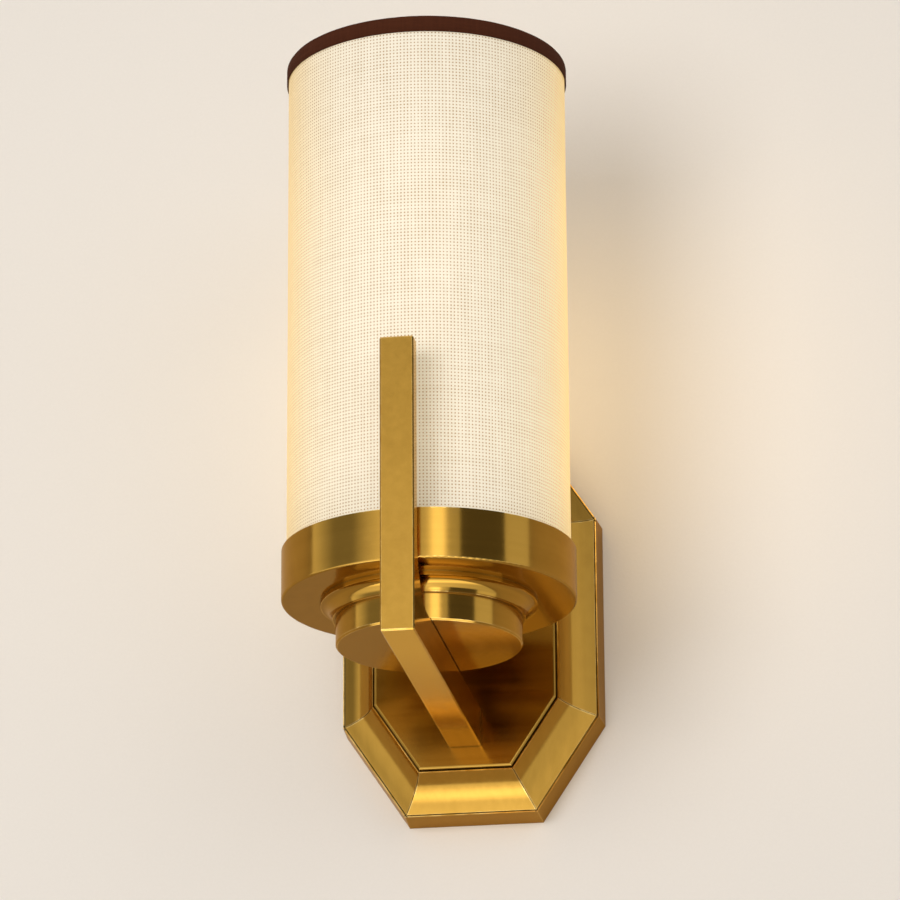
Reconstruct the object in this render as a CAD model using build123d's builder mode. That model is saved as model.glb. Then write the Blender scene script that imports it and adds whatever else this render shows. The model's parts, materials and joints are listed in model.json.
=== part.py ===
from build123d import *
from math import asin, atan2, cos, degrees, pi, sin, sqrt, tan
import os

os.makedirs("parts", exist_ok=True)

# A wall light: an L-shaped brass arm stands out of a coved octagonal back plate and carries a
# turned brass cup, in which a tall linen drum shade stands.
# Millimetres. +Z is up, +X is to the right seen from the room, +Y goes into the wall.
# The wall is the plane Y = 0, and the origin is the centre of the back plate on that plane.
# "Depth" is the distance from the wall towards the room, so a depth of 10 is Y = -10.

# ---------------------------------------------------------------- driving dimensions
# Back plate: a pressed brass octagon with a hollow moulding (cove) and mitred corners.
plate_width = 122.5
plate_height = 187.0
upright_side = 97.0          # length of the straight left and right sides
level_side = 63.0            # length of the straight top and bottom sides
plate_sheet = 1.6
rim_depth = 17.0             # how far the side wall stands off the wall
rim_draft = 1.0              # how far the side wall leans in over its depth
rim_land = 0.5               # flat edge round the front of the side wall
quirk_width = 0.5            # fine V-groove that parts this edge from the cove
quirk_depth = 0.5
cove_run = 16.5              # from the side wall's front edge in to the top of the cove
cove_rise = 16.5
cove_radius = 25.0
cove_lip = 0.4               # flat land between the cove and the groove round the panel
mitre_width = 0.4            # line cut along each mitre of the cove
mitre_depth = 0.3
groove_width = 0.7
panel_seat = 2.0             # how deep the panel sits in the plate
panel_thickness = 3.6
panel_edge = 1.2             # rounding of the panel's front edge

# Arm: square-edged bar with an upright strap, one piece.
arm_width = 15.0
bar_height = 18.0
bar_rise = 37.5              # centre of the bar above the foot of the plate
arm_reach = 189.3            # from the panel's face to the front of the strap
strap_thickness = 8.3
strap_rise = 115.4           # top of the strap above the top of the bar
inner_curve = 26.0           # radius between the strap and the top of the bar
arm_edge = 0.6               # chamfer along every visible edge
wireway_radius = 4.0

# Lamp head, turned about the lamp axis.
axis_depth = 137.5           # lamp axis from the wall
disc_radius = 41.6
disc_height = 12.5
disc_floor = 2.5
disc_wall = 2.0
disc_edge = 0.8
boss_radius = 9.0
ring_radius = 48.3
ring_neck_radius = 43.0
ring_height = 8.0
ring_lip = 2.0
ring_web = 2.0               # metal left round the hollow in the ring
cup_clearance = 1.15         # between the shade and the cup's wall
cup_height = 23.3
cup_sheet = 1.2
cup_edge = 1.0               # rounding of the cup's lower edge

# Shade: linen over a liner, on two wire rings.
shade_radius = 63.5
shade_height = 254.0
shade_lift_gap = 0.4         # bottom of the shade above the cup's floor
linen_thickness = 0.4
liner_thickness = 0.5
wire_radius = 1.2
ring_inset = 0.4             # wire rings in from the ends of the liner
trim_height = 7.8
trim_thickness = 0.8
trim_return = 5.0            # how far the trim comes down inside
spoke_count = 3
spoke_turn = 30.0            # direction of the first spoke
hub_width = 6.0
hub_thickness = 2.0

# Lamp holder for a screw lamp with a 26 mm cap.
holder_cap_radius = 17.0
holder_cap_height = 16.0
holder_cap_wall = 1.5
holder_collar_wall = 3.0     # round the nipple
holder_collar_height = 5.3
holder_collar_straight = 2.7 # foot of the collar, before the cap widens
holder_radius = 19.5
holder_height = 42.0
holder_chamber_radius = 16.0
holder_chamber_height = 8.0
holder_floor = 4.0
flange_radius = 21.5
flange_height = 3.0
shell_sheet = 0.4
shell_short = 2.0            # top of the screw shell below the top of the holder
shell_flange_radius = 9.0
contact_rise = 4.5
contact_width = 6.0
contact_strip = 0.5
clamp_height = 7.0
clamp_wall = 5.0
clamp_ribs = 24
clamp_rib_radius = 0.7
clamp_gap = 0.3              # running gap between the clamp ring or hub and the holder

# Lamp: a clear tubular glass lamp with four upright glowing rods.
lamp_cap_radius = 13.1
lamp_cap_height = 20.0
lamp_cap_sheet = 0.4
lamp_gap = 0.35              # round the lamp's cap in the screw shell
lamp_rest_gap = 0.3          # under the lamp's contact
tip_radius = 4.5
tip_flat = 2.25              # radius of the flat it is soldered down to
tip_height = 1.0
insulator_height = 3.0
insulator_top_radius = 11.0
insulator_bottom_radius = 5.5
glass_radius = 16.0
glass_neck_radius = 12.5
glass_neck_height = 8.0
glass_flare_height = 10.0
glass_body_height = 84.0
glass_wall = 0.9
glass_in_cap = 3.0
stem_radius = 6.0
stem_height = 34.0
stem_foot = 11.0             # height of its flare
stem_pinch_radius = 3.0      # pressed top, where the wires come through
rod_count = 4
rod_radius = 1.0
rod_circle = 6.5
rod_height = 62.0

# Fixings and wires.
nipple_radius = 5.0
nipple_bore = 3.5
thread_gap = 0.05            # between the thread of a fixing and its hole
hole_gap = 0.3               # between a fixing and a plain hole
washer_thickness = 1.5
washer_radius = 10.5
nut_flats = 14.0
nut_height = 4.0
stem_engagement = 4.0        # lower nipple thread in the bar
stem_in_holder = 11.8        # upper nipple thread in the holder's cap
arm_nipple_engagement = 12.0
nipple_tail = 2.0            # thread left showing behind the nut
dowel_radius = 1.0
dowel_length = 7.0
dowel_rise = 7.0             # above the middle of the bar
stiffener_width = 36.0
stiffener_height = 31.0
stiffener_thickness = 2.0
stiffener_corner = 2.0
stiffener_ground = 12.0      # its ground screw, beside the middle
stiffener_ground_rise = 10.5 # and above it
crossbar_length = 108.0
crossbar_height = 25.0
crossbar_thickness = 2.0
crossbar_corner = 6.0
slot_spacing = 88.9          # screws of a wall box, 3 1/2 in apart
slot_length = 10.0
slot_radius = 2.4
stud_spacing = 69.8
stud_radius = 2.0
stud_end = 5.0               # stud standing out of the panel
stud_nut_flats = 7.0
stud_nut_height = 3.2
cap_nut_radius = 5.5
cap_nut_height = 9.0
cap_nut_dome = 2.75          # height of its rounded end
cap_nut_groove = 0.5
cap_nut_groove_place = 2.25  # groove from the panel
ground_radius = 1.9
ground_head_radius = 4.0
ground_head_height = 2.2
ground_offset = 16.0         # ground screw beside the middle of the crossbar
ground_wire_radius = 0.8
lead_radius = 1.1
lead_offset = 1.3            # each lead beside the centre line of the wireway
terminal_radius = 1.3
terminal_head_radius = 2.6
terminal_head_height = 2.2
live_terminal = -6.0
neutral_terminal = 11.0

# ---------------------------------------------------------------- levels and places worked out
cup_radius = shade_radius + cup_clearance + cup_sheet
lip_depth = rim_depth + cove_rise
seat_depth = lip_depth - panel_seat
panel_face = seat_depth + panel_thickness
quirk_inset = rim_draft + rim_land
cove_start = quirk_inset + quirk_width
cove_inset = rim_draft + cove_run
seat_inset = cove_inset + cove_lip
panel_inset = seat_inset + groove_width
floor_back = seat_depth - plate_sheet
arm_front = panel_face + arm_reach

bar_drop = plate_height / 2 - bar_rise
bar_bottom = -bar_drop - bar_height / 2
bar_top = bar_bottom + bar_height
disc_top = bar_top + disc_height
ring_top = disc_top + ring_height
cup_floor_top = ring_top + cup_sheet
cup_top = ring_top + cup_height
washer_top = cup_floor_top + washer_thickness
nut_top = washer_top + nut_height
holder_cap_top = nut_top + holder_cap_height
holder_top = holder_cap_top + holder_height
holder_floor_bottom = holder_cap_top + holder_chamber_height
holder_floor_top = holder_floor_bottom + holder_floor
hub_bottom = holder_cap_top + flange_height
hub_top = hub_bottom + hub_thickness
lamp_bottom = holder_floor_top + contact_rise + lamp_rest_gap
lamp_cap_bottom = lamp_bottom + tip_height + insulator_height
lamp_cap_top = lamp_cap_bottom + lamp_cap_height
shade_bottom = cup_floor_top + shade_lift_gap
shade_top = shade_bottom + shade_height

liner_outer = shade_radius - linen_thickness
liner_inner = liner_outer - liner_thickness
ring_circle = liner_inner - thread_gap - wire_radius
hub_inner = holder_radius + clamp_gap
hub_outer = hub_inner + hub_width
shell_inner = lamp_cap_radius + lamp_gap
shell_outer = shell_inner + shell_sheet
fixing_hole = nipple_radius + hole_gap
thread_hole = nipple_radius + thread_gap

lamp_axis = Axis((0, -axis_depth, 0), (0, 0, 1))


def facing_room(depth):
    """A plane parallel to the wall, seen from the room: x is X and y is Z."""
    return Plane(origin=(0, -depth, 0), x_dir=(1, 0, 0), z_dir=(0, -1, 0))


def level(height):
    """A level plane centred on the lamp axis."""
    return Plane(origin=(0, -axis_depth, height), x_dir=(1, 0, 0), z_dir=(0, 0, 1))


section = facing_room(axis_depth)      # half sections of the turned pieces are drawn here


# ---------------------------------------------------------------- the octagon
def octagon_sides():
    """Direction and distance from the centre of each of the eight sides."""
    half_width = plate_width / 2
    half_height = plate_height / 2
    run = half_width - level_side / 2
    rise = half_height - upright_side / 2
    slope = atan2(run, rise)
    reach = half_width * cos(slope) + upright_side / 2 * sin(slope)
    right_side = [(0, half_width), (slope, reach), (pi / 2, half_height), (pi - slope, reach)]
    return right_side + [(angle + pi, distance) for angle, distance in right_side]


def octagon_points(inset):
    """Corners of the octagon after each side is moved in by the inset."""
    sides = octagon_sides()
    points = []
    for i, (angle, distance) in enumerate(sides):
        next_angle, next_distance = sides[(i + 1) % len(sides)]
        a, b = distance - inset, next_distance - inset
        spread = sin(next_angle - angle)
        x = (a * sin(next_angle) - b * sin(angle)) / spread
        z = (b * cos(angle) - a * cos(next_angle)) / spread
        points.append((x, z))
    return points


def side_plane(angle, distance):
    """Across one side: x runs in from the side's edge and y runs from the wall to the room."""
    return Plane(
        origin=(distance * cos(angle), 0, distance * sin(angle)),
        x_dir=(-cos(angle), 0, -sin(angle)),
        z_dir=(-sin(angle), 0, cos(angle)),
    )


# The cove is an arc through its two edges. Its centre lies off the front of the side wall.
chord_run = cove_inset - cove_start
chord = sqrt(chord_run**2 + cove_rise**2)
centre_away = sqrt(cove_radius**2 - chord**2 / 4)
centre_inset = cove_start + chord_run / 2 - centre_away * cove_rise / chord
centre_depth = rim_depth + cove_rise / 2 + centre_away * chord_run / chord


def moulding_outline(sheet, back, front):
    """Outline across one side of the plate. A sheet above 0 gives what lies that deep in it."""
    radius = cove_radius + sheet
    start_inset = cove_start if sheet == 0 else rim_draft + sheet
    end_inset = centre_inset + sqrt(radius**2 - (centre_depth - front) ** 2)
    middle_inset = (start_inset + end_inset) / 2
    start_depth = centre_depth - sqrt(radius**2 - (start_inset - centre_inset) ** 2)
    middle_depth = centre_depth - sqrt(radius**2 - (middle_inset - centre_inset) ** 2)
    if sheet == 0:
        Polyline(
            (0, back),
            (rim_draft, rim_depth),
            (quirk_inset, rim_depth),
            (quirk_inset + quirk_width / 2, rim_depth - quirk_depth),
            (start_inset, start_depth),
        )
    else:
        Line((sheet, back), (start_inset, start_depth))
    ThreePointArc((start_inset, start_depth), (middle_inset, middle_depth), (end_inset, front))
    Line((end_inset, front), (plate_height, front))
    Line((plate_height, front), (plate_height, back))
    Line((plate_height, back), (sheet, back))


# ---------------------------------------------------------------- back plate and panel
# The cove runs round all eight sides. Each side's section is drawn across the side and pushed
# along it, and what all eight have in common has the mitred corners of a pressed plate.
with BuildPart() as hollow:
    for number, (angle, distance) in enumerate(octagon_sides()):
        with BuildSketch(side_plane(angle, distance)):
            with BuildLine():
                moulding_outline(plate_sheet, -plate_sheet, floor_back)
            make_face()
        extrude(amount=plate_height, both=True, mode=Mode.ADD if number == 0 else Mode.INTERSECT)

# A fine line is cut along each mitre: thin upright blades, without what lies too deep for them.
with BuildPart() as below_lines:
    for number, (angle, distance) in enumerate(octagon_sides()):
        with BuildSketch(side_plane(angle, distance)):
            with BuildLine():
                moulding_outline(mitre_depth, 0, lip_depth)
            make_face()
        extrude(amount=plate_height, both=True, mode=Mode.ADD if number == 0 else Mode.INTERSECT)

with BuildPart() as mitre_lines:
    line_start = quirk_inset + quirk_width / 2
    line_end = cove_inset + cove_lip / 2
    for outer, inner in zip(octagon_points(line_start), octagon_points(line_end)):
        middle = ((outer[0] + inner[0]) / 2, (outer[1] + inner[1]) / 2)
        run, rise = outer[0] - inner[0], outer[1] - inner[1]
        with BuildSketch(facing_room(rim_depth - mitre_depth)):
            with Locations(Location(middle, degrees(atan2(rise, run)))):
                Rectangle(sqrt(run**2 + rise**2), mitre_width)
        extrude(amount=cove_rise + 2 * mitre_depth)
    add(below_lines.part, mode=Mode.SUBTRACT)

with BuildPart() as back_plate:
    for number, (angle, distance) in enumerate(octagon_sides()):
        with BuildSketch(side_plane(angle, distance)):
            with BuildLine():
                moulding_outline(0, 0, lip_depth)
            make_face()
        extrude(amount=plate_height, both=True, mode=Mode.ADD if number == 0 else Mode.INTERSECT)
    add(hollow.part, mode=Mode.SUBTRACT)
    add(mitre_lines.part, mode=Mode.SUBTRACT)
    with BuildSketch(facing_room(seat_depth)):
        with BuildLine():
            Polyline(*octagon_points(seat_inset), close=True)
        make_face()
    extrude(amount=panel_seat, mode=Mode.SUBTRACT)
    with BuildSketch(facing_room(floor_back)):
        with Locations((0, -bar_drop)):
            Circle(fixing_hole)
        with GridLocations(stud_spacing, 0, 2, 1):
            Circle(stud_radius + hole_gap)
    extrude(amount=plate_sheet, mode=Mode.SUBTRACT)
back_plate.part.label = "back_plate"
export_step(back_plate.part, "parts/back_plate.step")

with BuildPart() as centre_panel:
    with BuildSketch(facing_room(seat_depth)):
        with BuildLine():
            Polyline(*octagon_points(panel_inset), close=True)
        make_face()
        with Locations((0, -bar_drop)):
            Circle(fixing_hole, mode=Mode.SUBTRACT)
        with Locations((0, -bar_drop + dowel_rise)):
            Circle(dowel_radius + thread_gap, mode=Mode.SUBTRACT)
        with GridLocations(stud_spacing, 0, 2, 1):
            Circle(stud_radius + hole_gap, mode=Mode.SUBTRACT)
    extrude(amount=panel_thickness)
    front_edges = centre_panel.faces().sort_by(Axis.Y)[0].outer_wire().edges()
    fillet(front_edges, panel_edge)
centre_panel.part.label = "centre_panel"
export_step(centre_panel.part, "parts/centre_panel.step")

# ---------------------------------------------------------------- what holds the plate to the wall
# A steel crossbar is screwed to the wall box through its two slots. Two studs stand out of it,
# and cap nuts on the studs pull the plate back against the wall.
with BuildPart() as crossbar:
    with BuildSketch(facing_room(0)):
        RectangleRounded(crossbar_length, crossbar_height, crossbar_corner)
        with GridLocations(slot_spacing, 0, 2, 1):
            SlotOverall(slot_length, 2 * slot_radius, mode=Mode.SUBTRACT)
        with GridLocations(stud_spacing, 0, 2, 1):
            Circle(stud_radius + thread_gap, mode=Mode.SUBTRACT)
        with Locations((ground_offset, 0)):
            Circle(ground_radius + thread_gap, mode=Mode.SUBTRACT)
    extrude(amount=crossbar_thickness)
crossbar.part.label = "crossbar"
export_step(crossbar.part, "parts/crossbar.step")

with BuildPart() as plate_studs:
    with BuildSketch(facing_room(0)):
        with GridLocations(stud_spacing, 0, 2, 1):
            Circle(stud_radius)
    extrude(amount=panel_face + stud_end)
plate_studs.part.label = "plate_studs"
export_step(plate_studs.part, "parts/plate_studs.step")

with BuildPart() as stud_nuts:
    with BuildSketch(facing_room(crossbar_thickness)):
        with GridLocations(stud_spacing, 0, 2, 1):
            RegularPolygon(stud_nut_flats / 2, 6, major_radius=False)
            Circle(stud_radius + thread_gap, mode=Mode.SUBTRACT)
    extrude(amount=stud_nut_height)
stud_nuts.part.label = "stud_nuts"
export_step(stud_nuts.part, "parts/stud_nuts.step")

# Domed cap nuts with a turned groove, hidden behind the cup when seen from the room.
dome_radius = (cap_nut_radius**2 + cap_nut_dome**2) / (2 * cap_nut_dome)
dome_half_angle = asin(cap_nut_radius / dome_radius) / 2
dome_half = dome_radius * sin(dome_half_angle)
dome_drop = dome_radius * (1 - cos(dome_half_angle))
with BuildPart() as cap_nuts:
    for side in (-1, 1):
        with BuildSketch(Plane.XY):
            with BuildLine():
                x = side * stud_spacing / 2
                front = -panel_face - cap_nut_height
                shoulder = front + cap_nut_dome
                groove = -panel_face - cap_nut_groove_place
                bore = stud_radius + thread_gap
                bore_end = -panel_face - stud_end - hole_gap
                outer = x + side * cap_nut_radius
                Polyline(
                    (x, bore_end),
                    (x + side * bore, bore_end),
                    (x + side * bore, -panel_face),
                    (outer, -panel_face),
                    (outer, groove + cap_nut_groove),
                    (outer - side * cap_nut_groove, groove),
                    (outer, groove - cap_nut_groove),
                    (outer, shoulder),
                )
                ThreePointArc((outer, shoulder), (x + side * dome_half, front + dome_drop), (x, front))
                Line((x, front), (x, bore_end))
            make_face()
        revolve(axis=Axis((x, 0, 0), (0, 1, 0)))
cap_nuts.part.label = "cap_nuts"
export_step(cap_nuts.part, "parts/cap_nuts.step")

# ---------------------------------------------------------------- arm
# The outline is seen from the right. The underside and the front meet at a sharp corner, and
# the strap's back runs down into the top of the bar in a wide curve.
with BuildPart() as arm:
    with BuildSketch(Plane.YZ):
        with BuildLine():
            strap_back = -arm_front + strap_thickness
            strap_top = bar_top + strap_rise
            curve_end = strap_back + inner_curve
            Polyline(
                (-panel_face, bar_top),
                (-panel_face, bar_bottom),
                (-arm_front, bar_bottom),
                (-arm_front, strap_top),
                (strap_back, strap_top),
                (strap_back, bar_top + inner_curve),
            )
            RadiusArc((strap_back, bar_top + inner_curve), (curve_end, bar_top), -inner_curve)
            Line((curve_end, bar_top), (-panel_face, bar_top))
        make_face()
    extrude(amount=arm_width / 2, both=True)
    side_edges = arm.faces().filter_by(Axis.X).edges()
    end_edges = arm.faces().sort_by(Axis.Z)[-1].edges().filter_by(Axis.X)
    corner_edge = arm.faces().sort_by(Axis.Y)[0].edges().filter_by(Axis.X).sort_by(Axis.Z)[0]
    seat_edges = arm.faces().sort_by(Axis.Y)[-1].edges()
    seat_centres = [edge.center() for edge in seat_edges]
    free_edges = [e for e in side_edges if all((e.center() - c).length > arm_edge for c in seat_centres)]
    chamfer(free_edges + list(end_edges) + [corner_edge], arm_edge)
    with BuildSketch(facing_room(panel_face)):
        with Locations((0, -bar_drop)):
            Circle(thread_hole)
    extrude(amount=arm_nipple_engagement, mode=Mode.SUBTRACT)
    with BuildSketch(facing_room(panel_face)):
        with Locations((0, -bar_drop)):
            Circle(wireway_radius)
    extrude(amount=axis_depth + wireway_radius - panel_face, mode=Mode.SUBTRACT)
    with BuildSketch(facing_room(panel_face)):
        with Locations((0, -bar_drop + dowel_rise)):
            Circle(dowel_radius + thread_gap)
    extrude(amount=dowel_length - panel_thickness + hole_gap, mode=Mode.SUBTRACT)
    with BuildSketch(level(bar_top - stem_engagement)):
        Circle(thread_hole)
    extrude(amount=stem_engagement, mode=Mode.SUBTRACT)
    with BuildSketch(level(-bar_drop - wireway_radius)):
        Circle(wireway_radius)
    extrude(amount=bar_height / 2 + wireway_radius, mode=Mode.SUBTRACT)
arm.part.label = "arm"
export_step(arm.part, "parts/arm.step")

# The arm is held by a hollow threaded nipple through panel, plate and stiffener, with a washer
# and a nut behind. A dowel stops the arm turning.
stiffener_back = floor_back - stiffener_thickness
arm_washer_back = stiffener_back - washer_thickness
arm_nut_back = arm_washer_back - nut_height
arm_nipple_back = arm_nut_back - nipple_tail

with BuildPart() as stiffener:
    with BuildSketch(facing_room(stiffener_back)):
        with Locations((0, -bar_drop)):
            RectangleRounded(stiffener_width, stiffener_height, stiffener_corner)
            Circle(fixing_hole, mode=Mode.SUBTRACT)
        with Locations((stiffener_ground, -bar_drop + stiffener_ground_rise)):
            Circle(ground_radius + thread_gap, mode=Mode.SUBTRACT)
    extrude(amount=stiffener_thickness)
stiffener.part.label = "stiffener"
export_step(stiffener.part, "parts/stiffener.step")

with BuildPart() as arm_nipple:
    with BuildSketch(facing_room(arm_nipple_back)):
        with Locations((0, -bar_drop)):
            Circle(nipple_radius)
            Circle(nipple_bore, mode=Mode.SUBTRACT)
    extrude(amount=panel_face + arm_nipple_engagement - arm_nipple_back)
arm_nipple.part.label = "arm_nipple"
export_step(arm_nipple.part, "parts/arm_nipple.step")

with BuildPart() as arm_washer:
    with BuildSketch(facing_room(arm_washer_back)):
        with Locations((0, -bar_drop)):
            Circle(washer_radius)
            Circle(thread_hole, mode=Mode.SUBTRACT)
    extrude(amount=washer_thickness)
arm_washer.part.label = "arm_washer"
export_step(arm_washer.part, "parts/arm_washer.step")

with BuildPart() as arm_nut:
    with BuildSketch(facing_room(arm_nut_back)):
        with Locations((0, -bar_drop)):
            RegularPolygon(nut_flats / 2, 6, major_radius=False)
            Circle(thread_hole, mode=Mode.SUBTRACT)
    extrude(amount=nut_height)
arm_nut.part.label = "arm_nut"
export_step(arm_nut.part, "parts/arm_nut.step")

with BuildPart() as dowel_pin:
    with BuildSketch(facing_room(seat_depth)):
        with Locations((0, -bar_drop + dowel_rise)):
            Circle(dowel_radius)
    extrude(amount=dowel_length)
dowel_pin.part.label = "dowel_pin"
export_step(dowel_pin.part, "parts/dowel_pin.step")

# ---------------------------------------------------------------- turned brass of the head
with BuildPart() as lower_disc:
    with BuildSketch(section):
        with BuildLine():
            Polyline(
                (fixing_hole, bar_top),
                (disc_radius - disc_edge, bar_top),
                (disc_radius, bar_top + disc_edge),
                (disc_radius, disc_top),
                (disc_radius - disc_wall, disc_top),
                (disc_radius - disc_wall, bar_top + disc_floor),
                (boss_radius, bar_top + disc_floor),
                (boss_radius, disc_top),
                (fixing_hole, disc_top),
                close=True,
            )
        make_face()
    revolve(axis=lamp_axis)
lower_disc.part.label = "lower_disc"
export_step(lower_disc.part, "parts/lower_disc.step")

with BuildPart() as flared_ring:
    with BuildSketch(section):
        with BuildLine():
            flare = ring_radius - ring_neck_radius
            flare_top = ring_top - ring_lip
            flare_foot = flare_top - flare
            flare_middle = (ring_radius - flare * cos(pi / 4), flare_foot + flare * sin(pi / 4))
            Polyline(
                (ring_neck_radius, flare_foot),
                (ring_neck_radius, disc_top),
                (fixing_hole, disc_top),
                (fixing_hole, ring_top),
                (boss_radius, ring_top),
                (boss_radius, disc_top + ring_web),
                (ring_neck_radius - ring_web, disc_top + ring_web),
                (ring_neck_radius - ring_web, ring_top),
                (ring_radius, ring_top),
                (ring_radius, flare_top),
            )
            ThreePointArc((ring_radius, flare_top), flare_middle, (ring_neck_radius, flare_foot))
        make_face()
    revolve(axis=lamp_axis)
flared_ring.part.label = "flared_ring"
export_step(flared_ring.part, "parts/flared_ring.step")

with BuildPart() as cup:
    with BuildSketch(section):
        with BuildLine():
            Polyline(
                (fixing_hole, ring_top),
                (cup_radius, ring_top),
                (cup_radius, cup_top),
                (cup_radius - cup_sheet, cup_top),
                (cup_radius - cup_sheet, cup_floor_top),
                (fixing_hole, cup_floor_top),
                close=True,
            )
        make_face()
    revolve(axis=lamp_axis)
    fillet(cup.edges().group_by(Axis.Z)[0].sort_by(SortBy.LENGTH)[-1], cup_edge)
cup.part.label = "cup"
export_step(cup.part, "parts/cup.step")

with BuildPart() as stem_nipple:
    with BuildSketch(level(bar_top - stem_engagement)):
        Circle(nipple_radius)
        Circle(nipple_bore, mode=Mode.SUBTRACT)
    extrude(amount=nut_top + stem_in_holder - bar_top + stem_engagement)
stem_nipple.part.label = "stem_nipple"
export_step(stem_nipple.part, "parts/stem_nipple.step")

with BuildPart() as cup_washer:
    with BuildSketch(level(cup_floor_top)):
        Circle(washer_radius)
        Circle(thread_hole, mode=Mode.SUBTRACT)
    extrude(amount=washer_thickness)
cup_washer.part.label = "cup_washer"
export_step(cup_washer.part, "parts/cup_washer.step")

with BuildPart() as cup_nut:
    with BuildSketch(level(washer_top)):
        RegularPolygon(nut_flats / 2, 6, major_radius=False)
        Circle(thread_hole, mode=Mode.SUBTRACT)
    extrude(amount=nut_height)
cup_nut.part.label = "cup_nut"
export_step(cup_nut.part, "parts/cup_nut.step")

# ---------------------------------------------------------------- lamp holder
with BuildPart() as holder_cap:
    with BuildSketch(section):
        with BuildLine():
            collar = nipple_radius + holder_collar_wall
            collar_top = nut_top + holder_collar_height
            Polyline(
                (thread_hole, nut_top),
                (collar, nut_top),
                (collar, nut_top + holder_collar_straight),
                (holder_cap_radius, collar_top + holder_cap_wall),
                (holder_cap_radius, holder_cap_top),
                (holder_cap_radius - holder_cap_wall, holder_cap_top),
                (holder_cap_radius - holder_cap_wall, collar_top + 2 * holder_cap_wall),
                (collar, collar_top),
                (thread_hole, collar_top),
                close=True,
            )
        make_face()
    revolve(axis=lamp_axis)
holder_cap.part.label = "holder_cap"
export_step(holder_cap.part, "parts/holder_cap.step")

with BuildPart() as holder_body:
    with BuildSketch(section):
        with BuildLine():
            Polyline(
                (0, holder_floor_bottom),
                (holder_chamber_radius, holder_floor_bottom),
                (holder_chamber_radius, holder_cap_top),
                (flange_radius, holder_cap_top),
                (flange_radius, hub_bottom),
                (holder_radius, hub_bottom),
                (holder_radius, holder_top),
                (shell_outer + thread_gap, holder_top),
                (shell_outer + thread_gap, holder_floor_top),
                (0, holder_floor_top),
                close=True,
            )
        make_face()
    revolve(axis=lamp_axis)
    with BuildSketch(level(holder_floor_bottom)):
        with Locations((live_terminal, 0), (neutral_terminal, 0)):
            Circle(terminal_radius + thread_gap)
    extrude(amount=holder_floor, mode=Mode.SUBTRACT)
holder_body.part.label = "holder_body"
export_step(holder_body.part, "parts/holder_body.step")

with BuildPart() as screw_shell:
    with BuildSketch(section):
        with BuildLine():
            Polyline(
                (shell_flange_radius, holder_floor_top),
                (shell_outer, holder_floor_top),
                (shell_outer, holder_top - shell_short),
                (shell_inner, holder_top - shell_short),
                (shell_inner, holder_floor_top + shell_sheet),
                (shell_flange_radius, holder_floor_top + shell_sheet),
                close=True,
            )
        make_face()
    revolve(axis=lamp_axis)
screw_shell.part.label = "screw_shell"
export_step(screw_shell.part, "parts/screw_shell.step")

# The sprung tongue that meets the lamp's centre contact: a strip folded back over itself.
with BuildPart() as centre_contact:
    with BuildSketch(section):
        with BuildLine():
            fold = -live_terminal
            tongue_slope = (contact_rise - contact_strip) / (fold + contact_width / 2)
            Polyline(
                (live_terminal - terminal_radius / 2, holder_floor_top),
                (fold, holder_floor_top),
                (fold + contact_strip, holder_floor_top + contact_strip),
                (-contact_width / 2, holder_floor_top + contact_rise),
                (-contact_width / 2 - contact_strip, holder_floor_top + contact_rise - contact_strip),
                (fold - 2 * contact_strip, holder_floor_top + contact_strip * (1 + tongue_slope)),
                (live_terminal - terminal_radius / 2, holder_floor_top + contact_strip),
                close=True,
            )
        make_face()
    extrude(amount=contact_width / 2, both=True)
centre_contact.part.label = "centre_contact"
export_step(centre_contact.part, "parts/centre_contact.step")

with BuildPart() as terminal_screws:
    with BuildSketch(level(holder_floor_bottom)):
        with Locations((live_terminal, 0), (neutral_terminal, 0)):
            Circle(terminal_radius)
    extrude(amount=holder_floor)
    with BuildSketch(level(holder_floor_bottom - terminal_head_height)):
        with Locations((live_terminal, 0), (neutral_terminal, 0)):
            Circle(terminal_head_radius)
    extrude(amount=terminal_head_height)
terminal_screws.part.label = "terminal_screws"
export_step(terminal_screws.part, "parts/terminal_screws.step")

# ---------------------------------------------------------------- lamp
with BuildPart() as lamp_tip:
    with BuildSketch(section):
        with BuildLine():
            Line((0, lamp_bottom), (tip_flat, lamp_bottom))
            Line((tip_flat, lamp_bottom), (tip_radius, lamp_bottom + tip_height))
            Line((tip_radius, lamp_bottom + tip_height), (0, lamp_bottom + tip_height))
            Line((0, lamp_bottom + tip_height), (0, lamp_bottom))
        make_face()
    revolve(axis=lamp_axis)
lamp_tip.part.label = "lamp_tip"
export_step(lamp_tip.part, "parts/lamp_tip.step")

with BuildPart() as lamp_insulator:
    with BuildSketch(section):
        with BuildLine():
            Polyline(
                (0, lamp_bottom + tip_height),
                (insulator_bottom_radius, lamp_bottom + tip_height),
                (insulator_top_radius, lamp_cap_bottom),
                (0, lamp_cap_bottom),
                close=True,
            )
        make_face()
    revolve(axis=lamp_axis)
lamp_insulator.part.label = "lamp_insulator"
export_step(lamp_insulator.part, "parts/lamp_insulator.step")

with BuildPart() as lamp_cap:
    with BuildSketch(section):
        with BuildLine():
            Polyline(
                (0, lamp_cap_bottom),
                (insulator_top_radius, lamp_cap_bottom),
                (lamp_cap_radius, lamp_cap_bottom + (lamp_cap_radius - insulator_top_radius)),
                (lamp_cap_radius, lamp_cap_top),
                (lamp_cap_radius - lamp_cap_sheet, lamp_cap_top),
                (lamp_cap_radius - lamp_cap_sheet, lamp_cap_bottom + lamp_cap_radius - insulator_top_radius),
                (insulator_top_radius, lamp_cap_bottom + lamp_cap_sheet),
                (0, lamp_cap_bottom + lamp_cap_sheet),
                close=True,
            )
        make_face()
    revolve(axis=lamp_axis)
lamp_cap.part.label = "lamp_cap"
export_step(lamp_cap.part, "parts/lamp_cap.step")

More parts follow.
